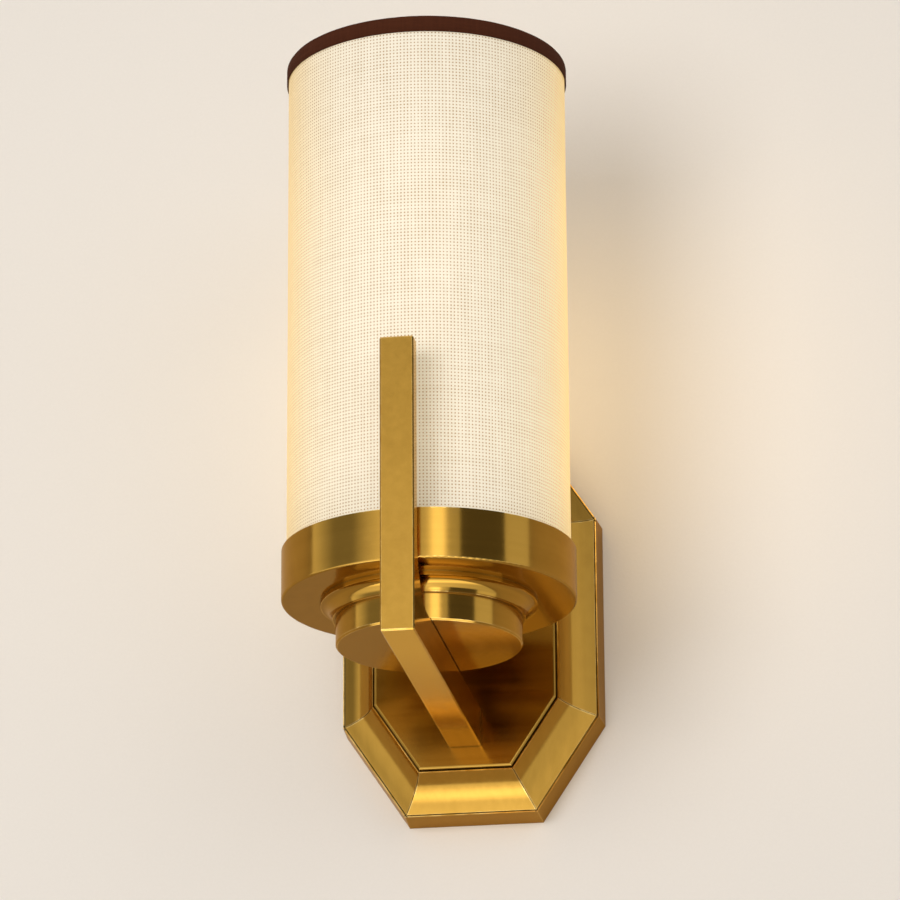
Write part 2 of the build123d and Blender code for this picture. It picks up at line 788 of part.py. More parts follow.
glass_bottom = lamp_cap_top - glass_in_cap
glass_neck_top = glass_bottom + glass_neck_height
glass_body_bottom = glass_neck_top + glass_flare_height
glass_body_top = glass_body_bottom + glass_body_height


def glass_outline(wall):
    """Half section of the lamp's glass, moved in by the wall."""
    radius = glass_radius - wall
    Polyline(
        (0, glass_bottom),
        (glass_neck_radius - wall, glass_bottom),
        (glass_neck_radius - wall, glass_neck_top),
        (radius, glass_body_bottom),
        (radius, glass_body_top),
    )
    CenterArc((0, glass_body_top), radius, 0, 90)
    Line((0, glass_body_top + radius), (0, glass_bottom))


with BuildPart() as lamp_glass:
    with BuildSketch(section):
        with BuildLine():
            glass_outline(0)
        make_face()
    revolve(axis=lamp_axis)
    with BuildSketch(section):
        with BuildLine():
            glass_outline(glass_wall)
        make_face()
    revolve(axis=lamp_axis, mode=Mode.SUBTRACT)
lamp_glass.part.label = "lamp_glass"
export_step(lamp_glass.part, "parts/lamp_glass.step")

# The stem's foot fills the neck of the glass, and its top carries the glowing rods.
stem_top = glass_bottom + stem_height
with BuildPart() as lamp_stem:
    with BuildSketch(section):
        with BuildLine():
            Polyline(
                (0, glass_bottom),
                (glass_neck_radius - glass_wall - thread_gap, glass_bottom),
                (stem_radius, glass_bottom + stem_foot),
                (stem_pinch_radius, stem_top - rod_radius),
                (rod_circle + rod_radius, stem_top - rod_radius),
                (rod_circle + rod_radius, stem_top),
                (0, stem_top),
                close=True,
            )
        make_face()
    revolve(axis=lamp_axis)
lamp_stem.part.label = "lamp_stem"
export_step(lamp_stem.part, "parts/lamp_stem.step")

with BuildPart() as lamp_rods:
    with BuildSketch(level(stem_top)):
        with PolarLocations(rod_circle, rod_count):
            Circle(rod_radius)
    extrude(amount=rod_height)
lamp_rods.part.label = "lamp_rods"
export_step(lamp_rods.part, "parts/lamp_rods.step")

# ---------------------------------------------------------------- shade
# A wire ring stiffens each end of the shade. Three wire spokes are welded to the foot ring and
# carry a flat hub, which rests on the flange of the lamp holder.
foot_ring_height = shade_bottom + ring_inset + wire_radius
with BuildPart() as foot_ring:
    with BuildSketch(section):
        with Locations((ring_circle, foot_ring_height)):
            Circle(wire_radius)
    revolve(axis=lamp_axis)
foot_ring.part.label = "foot_ring"
export_step(foot_ring.part, "parts/foot_ring.step")

hub_middle = hub_bottom + hub_thickness / 2
spoke_inner = hub_outer - wire_radius
with BuildPart() as shade_carrier:
    with BuildSketch(level(hub_bottom)):
        Circle(hub_outer)
        Circle(hub_inner, mode=Mode.SUBTRACT)
    extrude(amount=hub_thickness)
    for number in range(spoke_count):
        heading = (spoke_turn + number * 360 / spoke_count) * pi / 180
        outward = Vector(cos(heading), sin(heading), 0)
        outer_end = outward * ring_circle + Vector(0, -axis_depth, foot_ring_height)
        inner_end = outward * spoke_inner + Vector(0, -axis_depth, hub_middle)
        spoke_direction = inner_end - outer_end
        with BuildSketch(Plane(origin=outer_end, z_dir=spoke_direction)):
            Circle(wire_radius)
        extrude(amount=spoke_direction.length)
    add(foot_ring.part, mode=Mode.SUBTRACT)
shade_carrier.part.label = "shade_carrier"
export_step(shade_carrier.part, "parts/shade_carrier.step")

with BuildPart() as top_ring:
    with BuildSketch(section):
        with Locations((ring_circle, shade_top - ring_inset - wire_radius)):
            Circle(wire_radius)
    revolve(axis=lamp_axis)
top_ring.part.label = "top_ring"
export_step(top_ring.part, "parts/top_ring.step")

with BuildPart() as shade_liner:
    with BuildSketch(level(shade_bottom)):
        Circle(liner_outer)
        Circle(liner_inner, mode=Mode.SUBTRACT)
    extrude(amount=shade_height)
shade_liner.part.label = "shade_liner"
export_step(shade_liner.part, "parts/shade_liner.step")

with BuildPart() as linen_shade:
    with BuildSketch(level(shade_bottom)):
        Circle(shade_radius)
        Circle(liner_outer, mode=Mode.SUBTRACT)
    extrude(amount=shade_height)
linen_shade.part.label = "linen_shade"
export_step(linen_shade.part, "parts/linen_shade.step")

# The trim is a folded ribbon that straddles the top edge and hides the wire ring.
with BuildPart() as top_trim:
    with BuildSketch(section):
        with BuildLine():
            trim_outer = shade_radius + trim_thickness
            trim_top = shade_top + trim_thickness
            inside = ring_circle - wire_radius - thread_gap
            Polyline(
                (shade_radius, trim_top - trim_height),
                (trim_outer, trim_top - trim_height),
                (trim_outer, trim_top),
                (inside - trim_thickness, trim_top),
                (inside - trim_thickness, shade_top - trim_return),
                (inside, shade_top - trim_return),
                (inside, shade_top),
                (shade_radius, shade_top),
                close=True,
            )
        make_face()
    revolve(axis=lamp_axis)
top_trim.part.label = "top_trim"
export_step(top_trim.part, "parts/top_trim.step")

# The clamp ring screws down on the holder's thread and holds the hub to the flange. It is
# ribbed round the outside for the fingers.
with BuildPart() as clamp_ring:
    with BuildSketch(level(hub_top)):
        Circle(hub_inner + clamp_wall)
        with PolarLocations(hub_inner + clamp_wall, clamp_ribs):
            Circle(clamp_rib_radius, mode=Mode.SUBTRACT)
        Circle(hub_inner, mode=Mode.SUBTRACT)
    extrude(amount=clamp_height)
clamp_ring.part.label = "clamp_ring"
export_step(clamp_ring.part, "parts/clamp_ring.step")

# ---------------------------------------------------------------- ground screws and wires
ground_seat = crossbar_thickness + 2 * ground_wire_radius
second_ground = (stiffener_ground, -bar_drop + stiffener_ground_rise)
second_seat = stiffener_back - 2 * ground_wire_radius
with BuildPart() as ground_screws:
    with BuildSketch(facing_room(0)):
        with Locations((ground_offset, 0)):
            Circle(ground_radius)
    extrude(amount=ground_seat)
    with BuildSketch(facing_room(ground_seat)):
        with Locations((ground_offset, 0)):
            Circle(ground_head_radius)
    extrude(amount=ground_head_height)
    with BuildSketch(facing_room(second_seat)):
        with Locations(second_ground):
            Circle(ground_radius)
    extrude(amount=stiffener_thickness + 2 * ground_wire_radius)
    with BuildSketch(facing_room(second_seat - ground_head_height)):
        with Locations(second_ground):
            Circle(ground_head_radius)
    extrude(amount=ground_head_height)
ground_screws.part.label = "ground_screws"
export_step(ground_screws.part, "parts/ground_screws.step")


def bend_radii(points):
    """For each corner of a wire's route, the widest bend that its two runs allow."""
    radii = []
    for before, corner, after in zip(points, points[1:], points[2:]):
        first = Vector(*corner) - Vector(*before)
        second = Vector(*after) - Vector(*corner)
        half_turn = first.get_angle(second) / 2 * pi / 180
        radii.append(0.45 * min(first.length, second.length) / tan(half_turn))
    return radii


def wire_route(name, points, largest_bend):
    """Straight runs joined by bends, drawn in the current line block."""
    radii = [min(bend, largest_bend) for bend in bend_radii(points)]
    print(name, "bends:", [round(bend, 1) for bend in radii])
    FilletPolyline(*points, radius=radii)


wireway_bend = 10.0          # widest bend that clears the corner of the two bores
tail_depth = 12.0            # wires lie this far from the wall behind the plate
tail_spread = 18.0
tail_height = 44.0
holder_entry = nut_top + stem_in_holder + 2 * lead_radius
terminal_end = holder_floor_bottom - terminal_head_height - lead_radius

with BuildPart() as lead_live:
    with BuildLine() as lead_live_route:
        wire_route(
            "lead_live",
            [
                (live_terminal, -axis_depth, terminal_end),
                (-lead_offset, -axis_depth, holder_entry),
                (-lead_offset, -axis_depth, -bar_drop),
                (-lead_offset, -tail_depth, -bar_drop),
                (-tail_spread / 2, -tail_depth, -bar_drop + tail_height / 2),
                (-tail_spread, -tail_depth, tail_height),
            ],
            wireway_bend,
        )
    with BuildSketch(Plane(origin=lead_live_route.line @ 0, z_dir=lead_live_route.line % 0)):
        Circle(lead_radius)
    sweep()
lead_live.part.label = "lead_live"
export_step(lead_live.part, "parts/lead_live.step")

with BuildPart() as lead_neutral:
    with BuildLine() as lead_neutral_route:
        wire_route(
            "lead_neutral",
            [
                (neutral_terminal, -axis_depth, terminal_end),
                (lead_offset, -axis_depth, holder_entry),
                (lead_offset, -axis_depth, -bar_drop),
                (lead_offset, -tail_depth, -bar_drop),
                (lead_offset, -tail_depth, -bar_drop + tail_height / 2),
                (-tail_spread / 4, -tail_depth, tail_height),
            ],
            wireway_bend,
        )
    with BuildSketch(Plane(origin=lead_neutral_route.line @ 0, z_dir=lead_neutral_route.line % 0)):
        Circle(lead_radius)
    sweep()
lead_neutral.part.label = "lead_neutral"
export_step(lead_neutral.part, "parts/lead_neutral.step")

# The bare ground wire lies beside each ground screw's shank, under its head.
beside = ground_radius + ground_wire_radius + thread_gap
ground_run = 6.0             # straight wire past the crossbar and past the second screw's head
under_first = -crossbar_thickness - ground_wire_radius
under_second = -stiffener_back + ground_wire_radius
with BuildPart() as ground_lead:
    with BuildLine() as ground_lead_route:
        wire_route(
            "ground_lead",
            [
                (ground_offset + beside, under_first, ground_head_radius),
                (ground_offset + beside, under_first, -crossbar_height / 2 - ground_run),
                (second_ground[0] + beside, under_second, second_ground[1] + ground_head_radius + ground_run),
                (second_ground[0] + beside, under_second, second_ground[1] - ground_head_radius),
            ],
            wireway_bend,
        )
    with BuildSketch(Plane(origin=ground_lead_route.line @ 0, z_dir=ground_lead_route.line % 0)):
        Circle(ground_wire_radius)
    sweep()
ground_lead.part.label = "ground_lead"
export_step(ground_lead.part, "parts/ground_lead.step")
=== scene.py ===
# %% [markdown]
# # A brass wall light with a linen shade
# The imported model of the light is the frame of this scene: every nut, bar and wire is already
# there at its real place. This lesson dresses it. The hard pieces keep their shape and get a
# finish, and the soft pieces and the screw threads are made again with more life in them.

import json
from math import cos, pi, radians, sin, tau

import bmesh
import bpy
from mathutils import Matrix, Vector

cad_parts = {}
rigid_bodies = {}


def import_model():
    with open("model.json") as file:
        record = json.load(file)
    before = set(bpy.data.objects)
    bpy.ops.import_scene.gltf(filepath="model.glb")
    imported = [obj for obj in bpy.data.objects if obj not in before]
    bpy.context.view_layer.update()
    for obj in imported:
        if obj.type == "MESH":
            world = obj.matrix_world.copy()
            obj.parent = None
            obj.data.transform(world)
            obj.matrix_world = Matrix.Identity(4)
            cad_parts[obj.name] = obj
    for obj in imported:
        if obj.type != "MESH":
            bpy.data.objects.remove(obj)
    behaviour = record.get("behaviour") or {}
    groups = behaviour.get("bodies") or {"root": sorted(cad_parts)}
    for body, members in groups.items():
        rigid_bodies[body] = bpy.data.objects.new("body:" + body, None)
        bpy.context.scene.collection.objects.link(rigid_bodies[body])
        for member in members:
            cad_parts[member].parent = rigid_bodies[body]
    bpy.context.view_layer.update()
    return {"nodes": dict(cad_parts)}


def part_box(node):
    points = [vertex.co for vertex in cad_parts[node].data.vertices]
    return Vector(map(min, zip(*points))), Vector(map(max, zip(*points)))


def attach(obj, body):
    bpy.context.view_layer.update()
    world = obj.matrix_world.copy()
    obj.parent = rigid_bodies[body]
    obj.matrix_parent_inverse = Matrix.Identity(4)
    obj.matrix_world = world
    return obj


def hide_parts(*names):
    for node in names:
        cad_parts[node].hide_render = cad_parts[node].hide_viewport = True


MM = 0.001
PER_METRE = 1000.0     # millimetres in a metre
for leftover in list(bpy.data.objects):
    bpy.data.objects.remove(leftover)
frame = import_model()
nodes = frame["nodes"]

# %% [markdown]
# Camera, walls, lamps and dressed pieces are new objects. A new object starts at the origin,
# like the frame's own pieces.


# %% A new object
def add_object(name, data):
    made = bpy.data.objects.new(name, data)
    bpy.context.scene.collection.objects.link(made)
    return made


# %% [markdown]
# ## Where the photograph was taken from
# The light was seen from below and a little from the right, with a long lens. Both silhouettes
# of the shade and the corners of the back plate fix the camera's place and its three turns.

# %% Camera
camera_place = Vector((335.6, -2237.0, -681.5)) * MM
camera_turn = radians(8.82)      # to the left, seen from above
camera_rise = radians(18.87)     # upwards
camera_roll = radians(-0.36)
camera_data = bpy.data.cameras.new("camera")
camera_data.lens = 200
camera_data.sensor_width = 36
camera = add_object("camera", camera_data)
camera.matrix_world = (
    Matrix.Translation(camera_place)
    @ Matrix.Rotation(camera_turn, 4, "Z")
    @ Matrix.Rotation(pi / 2 + camera_rise, 4, "X")
    @ Matrix.Rotation(camera_roll, 4, "Z")
)
bpy.context.scene.camera = camera
print("camera is", round(camera_place.length, 2), "m from the middle of the back plate")

# %% [markdown]
# ## Helpers for node trees
# Materials and Geometry Nodes are both trees of nodes, so small helpers build all of them.
# One adds a node and fills its inputs with numbers or links. The next are short names for the
# nodes that come back most, and the last two start a group with named inputs and outputs and
# use it in a material.


# %% A node with its inputs filled
def fill_inputs(tree, node, inputs):
    """Another node's output becomes a link, and anything else a constant."""
    for name, value in inputs.items():
        if isinstance(value, bpy.types.NodeSocket):
            tree.links.new(value, node.inputs[name])
        else:
            node.inputs[name].default_value = value
    return node


def add_node(tree, kind, inputs=None, **settings):
    node = tree.nodes.new(kind)
    for name, value in settings.items():
        setattr(node, name, value)
    return fill_inputs(tree, node, inputs or {})


# %% Nodes that come back often, each as its output
def calculate(tree, operation, *values):
    inputs = dict(enumerate(values))
    return add_node(tree, "ShaderNodeMath", inputs, operation=operation).outputs[0]


def multiply(tree, first, second):
    return calculate(tree, "MULTIPLY", first, second)


def map_range(tree, value, start, end, first=0.0, last=1.0, smooth=False):
    """As the value goes from start to end, the result goes from first to last."""
    inputs = {"Value": value, 1: start, 2: end, 3: first, 4: last}
    curve = "SMOOTHSTEP" if smooth else "LINEAR"
    return add_node(tree, "ShaderNodeMapRange", inputs, interpolation_type=curve).outputs[0]


def noise(tree, place, scale, detail=2.0):
    inputs = {"Vector": place, "Scale": scale, "Detail": detail}
    return add_node(tree, "ShaderNodeTexNoise", inputs).outputs[0]


def vector_parts(tree, vector):
    return add_node(tree, "ShaderNodeSeparateXYZ", {"Vector": vector}).outputs


def combine(tree, x, y, z=0.0):
    return add_node(tree, "ShaderNodeCombineXYZ", {"X": x, "Y": y, "Z": z}).outputs[0]


def vector_math(tree, operation, inputs, result="Vector"):
    return add_node(tree, "ShaderNodeVectorMath", inputs, operation=operation).outputs[result]


def mix_numbers(tree, factor, first, second):
    inputs = {0: factor, 2: first, 3: second}
    return add_node(tree, "ShaderNodeMix", inputs, data_type="FLOAT").outputs[0]


# %% A group with named sockets
def new_group(name, inputs, outputs, kind="ShaderNodeTree"):
    """An input is the number that it starts from, or the name of another kind of socket."""
    tree = bpy.data.node_groups.new(name, kind)
    for label, value in inputs.items():
        form = value if isinstance(value, str) else type(value).__name__.title()
        socket = tree.interface.new_socket(label, in_out="INPUT", socket_type="NodeSocket" + form)
        if form != value:
            socket.default_value = value
    for label in outputs:
        form = "Geometry" if label == "Geometry" else "Float"
        tree.interface.new_socket(label, in_out="OUTPUT", socket_type="NodeSocket" + form)
    return tree, tree.nodes.new("NodeGroupInput").outputs, tree.nodes.new("NodeGroupOutput")


def use_group(tree, group, inputs):
    """The outputs of a shader group."""
    return add_node(tree, "ShaderNodeGroup", inputs, node_tree=group).outputs


# %% [markdown]
# ## Effects that several finishes share
# A brushed surface is a field of fine scratches that all run one way. Noise that is stretched
# a hundredfold along the scratches gives it, and the same noise, coarser, gives the long
# streaks that the eye sees first. The group expects positions with X along the scratches.

# %% Brushed grain
GRAIN, grain_in, grain_out = new_group(
    "brushed_grain", {"Along": "Vector", "Scratch": 0.35, "Length": 40.0}, ["Height", "Tone"]
)
across_scratches = calculate(GRAIN, "DIVIDE", PER_METRE, grain_in["Scratch"])
along_scratches = calculate(GRAIN, "DIVIDE", PER_METRE, grain_in["Length"])
fine_scale = combine(GRAIN, along_scratches, across_scratches, across_scratches)
streak_scale = (0.5, 0.11, 0.11)     # streaks are longer than scratches, and much wider
fine_place = vector_math(GRAIN, "MULTIPLY", {0: grain_in["Along"], 1: fine_scale})
streak_place = vector_math(GRAIN, "MULTIPLY", {0: fine_place, 1: streak_scale})
fill_inputs(GRAIN, grain_out, {
    "Height": noise(GRAIN, fine_place, 1.0),
    "Tone": noise(GRAIN, streak_place, 1.0, 3.0),
})
print("brushed grain:", len(GRAIN.nodes), "nodes")

# %% [markdown]
# Lacquered brass ages in soft clouds, darker and browner where hands and damp reach it. Two
# sizes of noise are multiplied, so that the clouds have ragged edges.

# %% Clouds of age
AGE, age_in, age_out = new_group(
    "clouds_of_age", {"Place": "Vector", "Size": 30.0, "Amount": 0.5}, ["Mask"]
)
cloud_scale = calculate(AGE, "DIVIDE", PER_METRE, age_in["Size"])
speck_scale = multiply(AGE, cloud_scale, 9.0)
clouds = map_range(AGE, noise(AGE, age_in["Place"], cloud_scale, 4.0), 0.42, 0.72)
specks = map_range(AGE, noise(AGE, age_in["Place"], speck_scale, 3.0), 0.3, 0.75)
ragged = multiply(AGE, clouds, specks)
fill_inputs(AGE, age_out, {"Mask": multiply(AGE, ragged, age_in["Amount"])})

# %% [markdown]
# Edges are handled and wiped more than faces, so they are brighter and smoother. On the brass
# the pale edge colour is also a painted highlight, the glint that a rounded arris catches. The
# Bevel node gives the normal that a slightly rounded edge would have, and where it leaves the
# real normal there is an edge.

# %% Worn edges
WEAR, wear_in, wear_out = new_group(
    "worn_edges", {"Place": "Vector", "Width": 0.5, "Amount": 0.8}, ["Mask"]
)
wear_width = multiply(WEAR, wear_in["Width"], MM)
rounded = add_node(WEAR, "ShaderNodeBevel", {"Radius": wear_width}, samples=4).outputs[0]
real_normal = add_node(WEAR, "ShaderNodeNewGeometry").outputs["Normal"]
agreement = vector_math(WEAR, "DOT_PRODUCT", {0: rounded, 1: real_normal}, "Value")
edge = map_range(WEAR, agreement, 0.995, 0.86)
rubbed = map_range(WEAR, noise(WEAR, wear_in["Place"], 160.0, 3.0), 0.3, 0.55)
edge_rubbed = multiply(WEAR, edge, rubbed)
fill_inputs(WEAR, wear_out, {"Mask": multiply(WEAR, edge_rubbed, wear_in["Amount"])})

# %% [markdown]
# Grooves, mitres and inner corners are darkened: painted shade, together with the wax and dust
# that stay there, where no cloth reaches them. Ambient occlusion measures how much of the open
# room a point sees within a short distance, and where that is little there is a recess.

# %% Dark recesses
RECESS, recess_in, recess_out = new_group(
    "dark_recesses", {"Reach": 1.5, "Amount": 1.0}, ["Mask"]
)
recess_reach = multiply(RECESS, recess_in["Reach"], MM)
openness = add_node(RECESS, "ShaderNodeAmbientOcclusion", {"Distance": recess_reach}, samples=6)
shut_in = map_range(RECESS, openness.outputs["AO"], 0.72, 0.30)
fill_inputs(RECESS, recess_out, {"Mask": multiply(RECESS, shut_in, recess_in["Amount"])})

# %% [markdown]
# A plain weave is two sets of parallel yarns. Across each yarn the height is a rounded hump,
# and where a warp yarn crosses a weft yarn one of them is on top, turn about, like the fields
# of a chessboard. Between the yarns a small square hole is left. The group works on UV
# coordinates in metres, so the weave has its real size and follows the cloth.

# %% Plain weave
WEAVE, weave_in, weave_out = new_group(
    "plain_weave",
    {"UV": "Vector", "Pitch": 1.5, "Hole": 0.4, "Slub": 0.3},
    ["Height", "Hole", "Yarn Tone"],
)
weave_split = vector_parts(WEAVE, weave_in["UV"])
yarns_per_metre = calculate(WEAVE, "DIVIDE", PER_METRE, weave_in["Pitch"])
warp_count = multiply(WEAVE, weave_split["X"], yarns_per_metre)
weft_count = multiply(WEAVE, weave_split["Y"], yarns_per_metre)
warp_number = calculate(WEAVE, "FLOOR", warp_count)
weft_number = calculate(WEAVE, "FLOOR", weft_count)


def slub_along(number, other, seed):
    """How thick a yarn is here: it changes slowly along the yarn and at once from yarn to yarn."""
    place = combine(WEAVE, number, multiply(WEAVE, other, 0.06), seed)
    return noise(WEAVE, place, 0.73, 3.0)


def hump_across(count):
    """1 along the middle of a yarn and 0 between two yarns."""
    wave = calculate(WEAVE, "SINE", multiply(WEAVE, count, pi))
    return calculate(WEAVE, "ABSOLUTE", wave)


warp_slub = slub_along(warp_number, weft_count, 3.7)
weft_slub = slub_along(weft_number, warp_count, 9.1)
warp_hump = hump_across(warp_count)
weft_hump = hump_across(weft_count)
board = calculate(WEAVE, "ADD", warp_number, weft_number)
warp_on_top = calculate(WEAVE, "MODULO", calculate(WEAVE, "ABSOLUTE", board), 2.0)
weft_on_top = calculate(WEAVE, "SUBTRACT", 1.0, warp_on_top)


# %% Which yarn is on top, and where the holes are
def lifted(hump, on_top):
    """A yarn reaches its full height only where it is on top."""
    return multiply(WEAVE, hump, calculate(WEAVE, "MULTIPLY_ADD", on_top, 0.45, 0.55))


warp_over = lifted(warp_hump, warp_on_top)
weft_over = lifted(weft_hump, weft_on_top)
both_slubs = calculate(WEAVE, "ADD", warp_slub, weft_slub)
thicker = multiply(WEAVE, calculate(WEAVE, "SUBTRACT", both_slubs, 1.0), weave_in["Slub"])
hole_size = calculate(WEAVE, "SUBTRACT", weave_in["Hole"], thicker)
hole_edge = calculate(WEAVE, "ADD", hole_size, 0.22)
widest_yarn = calculate(WEAVE, "MAXIMUM", warp_hump, weft_hump)
fill_inputs(WEAVE, weave_out, {
    "Height": calculate(WEAVE, "MAXIMUM", warp_over, weft_over),
    "Hole": map_range(WEAVE, widest_yarn, hole_edge, hole_size, smooth=True),
    "Yarn Tone": multiply(WEAVE, both_slubs, 0.5),
})
print("plain weave:", len(WEAVE.nodes), "nodes")


# %% [markdown]
# ## Finishes
# Every finish starts as a Principled shader with its constant numbers set on the shader
# itself. A small helper makes it and hands back the tree and the shader.

# %% A blank finish
def new_finish(name, metallic=0.0, roughness=0.5, **more):
    material = bpy.data.materials.new(name)
    material.use_nodes = True
    tree = material.node_tree
    shader = tree.nodes["Principled BSDF"]
    constants = {"metallic": metallic, "roughness": roughness, **more}
    for label, value in constants.items():
        socket = label.replace("_", " ").title().replace("Ior", "IOR")
        shader.inputs[socket].default_value = value
    return material, tree, shader


def object_place(tree):
    return add_node(tree, "ShaderNodeTexCoord").outputs["Object"]


def mix_colours(tree, factor, first, second):
    """A colour is three numbers, or comes from another node."""
    first, second = ((*c, 1.0) if isinstance(c, tuple) else c for c in (first, second))
    inputs = {0: factor, 6: first, 7: second}
    return add_node(tree, "ShaderNodeMix", inputs, data_type="RGBA").outputs[2]


def add_bump(tree, shader, height, distance):
    """Height 0 to 1 becomes a relief of that many millimetres."""
    inputs = {"Height": height, "Distance": distance * MM, "Strength": 1.0}
    bump = add_node(tree, "ShaderNodeBump", inputs)
    fill_inputs(tree, shader, {"Normal": bump.outputs[0]})


def finish_node(material, *names):
    for name in names:
        nodes[name].data.materials.clear()
        nodes[name].data.materials.append(material)


# %% [markdown]
# ### Aged brass
# All the brass that shows has one finish, but the scratches run differently on each piece:
# round the lamp axis on turned pieces, along the bar on the arm, and straight across the
# panel. So one function makes the finish, and what it is given says how to find the direction
# along the scratches.
# The photograph shows faces that look down darker on the turned pieces and paler under the
# bar, so each finish can have a colour of its own for them: painted shade under the turned
# pieces and painted light under the bar.

# %% Directions of the scratches
lamp_axis_y = sum(corner.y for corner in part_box("cup")) / 2


def along_axis(order):
    """Straight scratches: order names the axes that become X, Y and Z."""

    def arrange(tree, place):
        split = vector_parts(tree, place)
        return combine(tree, *(split[axis] for axis in order))

    return arrange


def round_lamp_axis(tree, place):
    """Turned scratches: X runs round the lamp axis, Y is the radius and Z the height."""
    split = vector_parts(tree, place)
    outward = calculate(tree, "SUBTRACT", lamp_axis_y, split["Y"])
    angle = calculate(tree, "ARCTAN2", split["X"], outward)
    sideways_squared = multiply(tree, split["X"], split["X"])
    outward_squared = multiply(tree, outward, outward)
    reach = calculate(tree, "SQRT", calculate(tree, "ADD", sideways_squared, outward_squared))
    return combine(tree, multiply(tree, angle, 50 * MM), reach, split["Z"])


# %% The brass itself
BRASS_DARK = (0.43, 0.25, 0.042)
BRASS_PALE = (0.53, 0.315, 0.060)
BRASS_CLOUD = (0.30, 0.15, 0.022)
BRASS_WEAR_AND_HIGHLIGHT = (0.98, 0.75, 0.32)
# Painted shade for the turned pieces' faces that look down, painted light under the bar.
PAINTED_SHADE_BELOW_TURNED = (0.20, 0.105, 0.018)
PAINTED_LIGHT_BELOW_BAR = (0.85, 0.58, 0.11)
WAX_AND_PAINTED_SHADE = (0.030, 0.013, 0.003)


def brass_finish(name, arrange, roughness, painted_light_level=1.0, underside_paint=0.0, below=PAINTED_SHADE_BELOW_TURNED, fade=0.0):
    """Underside says how far the faces that look down take the colour below, painted shade on the
    turned pieces and painted light on the bar. Fade takes it back towards the wall. Bright scales
    the colour of the streaks, so that one finish gives lighter and darker painted copies."""
    tint = (1.0, 0.87, 0.64, 1.0)
    material, tree, shader = new_finish(name, 1.0, roughness, specular_tint=tint)
    place = object_place(tree)
    normal = add_node(tree, "ShaderNodeTexCoord").outputs["Normal"]
    down = map_range(tree, vector_parts(tree, normal)["Z"], -0.8, -1.0, 0.0, underside_paint)
    depth = vector_parts(tree, place)["Y"]
    towards_wall = map_range(tree, depth, -190 * MM, -60 * MM, 1.0, 1.0 - fade)
    along = arrange(tree, place)
    grain = use_group(tree, GRAIN, {"Along": along, "Scratch": 0.35, "Length": 45.0})
    age = use_group(tree, AGE, {"Place": place, "Size": 60.0, "Amount": 0.35})
    wear = use_group(tree, WEAR, {"Place": place, "Width": 0.7, "Amount": 1.0})
    recess = use_group(tree, RECESS, {"Reach": 1.6, "Amount": 0.9})
    dark_streak = tuple(painted_light_level * part for part in BRASS_DARK)
    pale_streak = tuple(painted_light_level * part for part in BRASS_PALE)
    streaked = mix_colours(tree, grain["Tone"], dark_streak, pale_streak)
    clouded = mix_colours(tree, age["Mask"], streaked, BRASS_CLOUD)
    # Faces that look down take their painted colour here: shade on turned pieces, light on the bar.
    age_and_painted_underside = mix_colours(tree, multiply(tree, down, towards_wall), clouded, below)
    # Edges take a pale colour: wear, and also a painted highlight along the arrises.
    worn = mix_colours(tree, wear["Mask"], age_and_painted_underside, BRASS_WEAR_AND_HIGHLIGHT)
    # Recesses darken: painted shade, together with the wax that stays there.
    waxed_and_shaded = mix_colours(tree, recess["Mask"], worn, WAX_AND_PAINTED_SHADE)
    shine = map_range(tree, grain["Tone"], 0.0, 1.0, roughness - 0.04, roughness + 0.06)
    dulled = calculate(tree, "MULTIPLY_ADD", age["Mask"], 0.12, shine)
    polished = calculate(tree, "MULTIPLY_ADD", wear["Mask"], -0.06, dulled)
    dulled_wax = calculate(tree, "MULTIPLY_ADD", recess["Mask"], 0.3, polished)
    fill_inputs(tree, shader, {"Base Color": waxed_and_shaded, "Roughness": dulled_wax})
    add_bump(tree, shader, grain["Height"], 0.003)
    return material


# Bright gives lit and shaded copies of the one brass: the bar is a painted lighter copy, the centre panel a
# painted darker one.
turned_brass = brass_finish("turned_brass", round_lamp_axis, 0.12, underside_paint=0.5)
lit_bar_brass = brass_finish(
    "lit_bar_brass", along_axis("YZX"), 0.14, painted_light_level=1.15, underside_paint=1.0, below=PAINTED_LIGHT_BELOW_BAR, fade=1.4
)
plate_brass = brass_finish("plate_brass", along_axis("ZXY"), 0.15)
shaded_panel_brass = brass_finish("shaded_panel_brass", along_axis("XZY"), 0.16, painted_light_level=0.65)
finish_node(turned_brass, "cup", "flared_ring", "lower_disc")
finish_node(lit_bar_brass, "arm")
finish_node(plate_brass, "back_plate", "cap_nuts")
finish_node(shaded_panel_brass, "centre_panel")

# %% [markdown]
# ### The other metals
# Zinc-plated steel is bluish grey with a faint yellow bloom. The ground screws are the same
# steel in green, and the wire under them is bare copper.


# %% Plated and bare metals
def plated_finish(name, colour, bloom, roughness):
    material, tree, shader = new_finish(name, 1.0, roughness)
    place = object_place(tree)
    grain = use_group(tree, GRAIN, {"Along": place, "Scratch": 0.5, "Length": 8.0})
    age = use_group(tree, AGE, {"Place": place, "Size": 14.0, "Amount": 0.8})
    wear = use_group(tree, WEAR, {"Place": place, "Width": 0.25, "Amount": 0.6})
    bloomed = mix_colours(tree, age["Mask"], colour, bloom)
    brighter = tuple(min(1.0, 1.35 * part) for part in colour)
    fill_inputs(tree, shader, {
        "Base Color": mix_colours(tree, wear["Mask"], bloomed, brighter),
        "Roughness": map_range(tree, grain["Tone"], 0.0, 1.0, roughness - 0.08, roughness + 0.1),
    })
    add_bump(tree, shader, grain["Height"], 0.01)
    return material


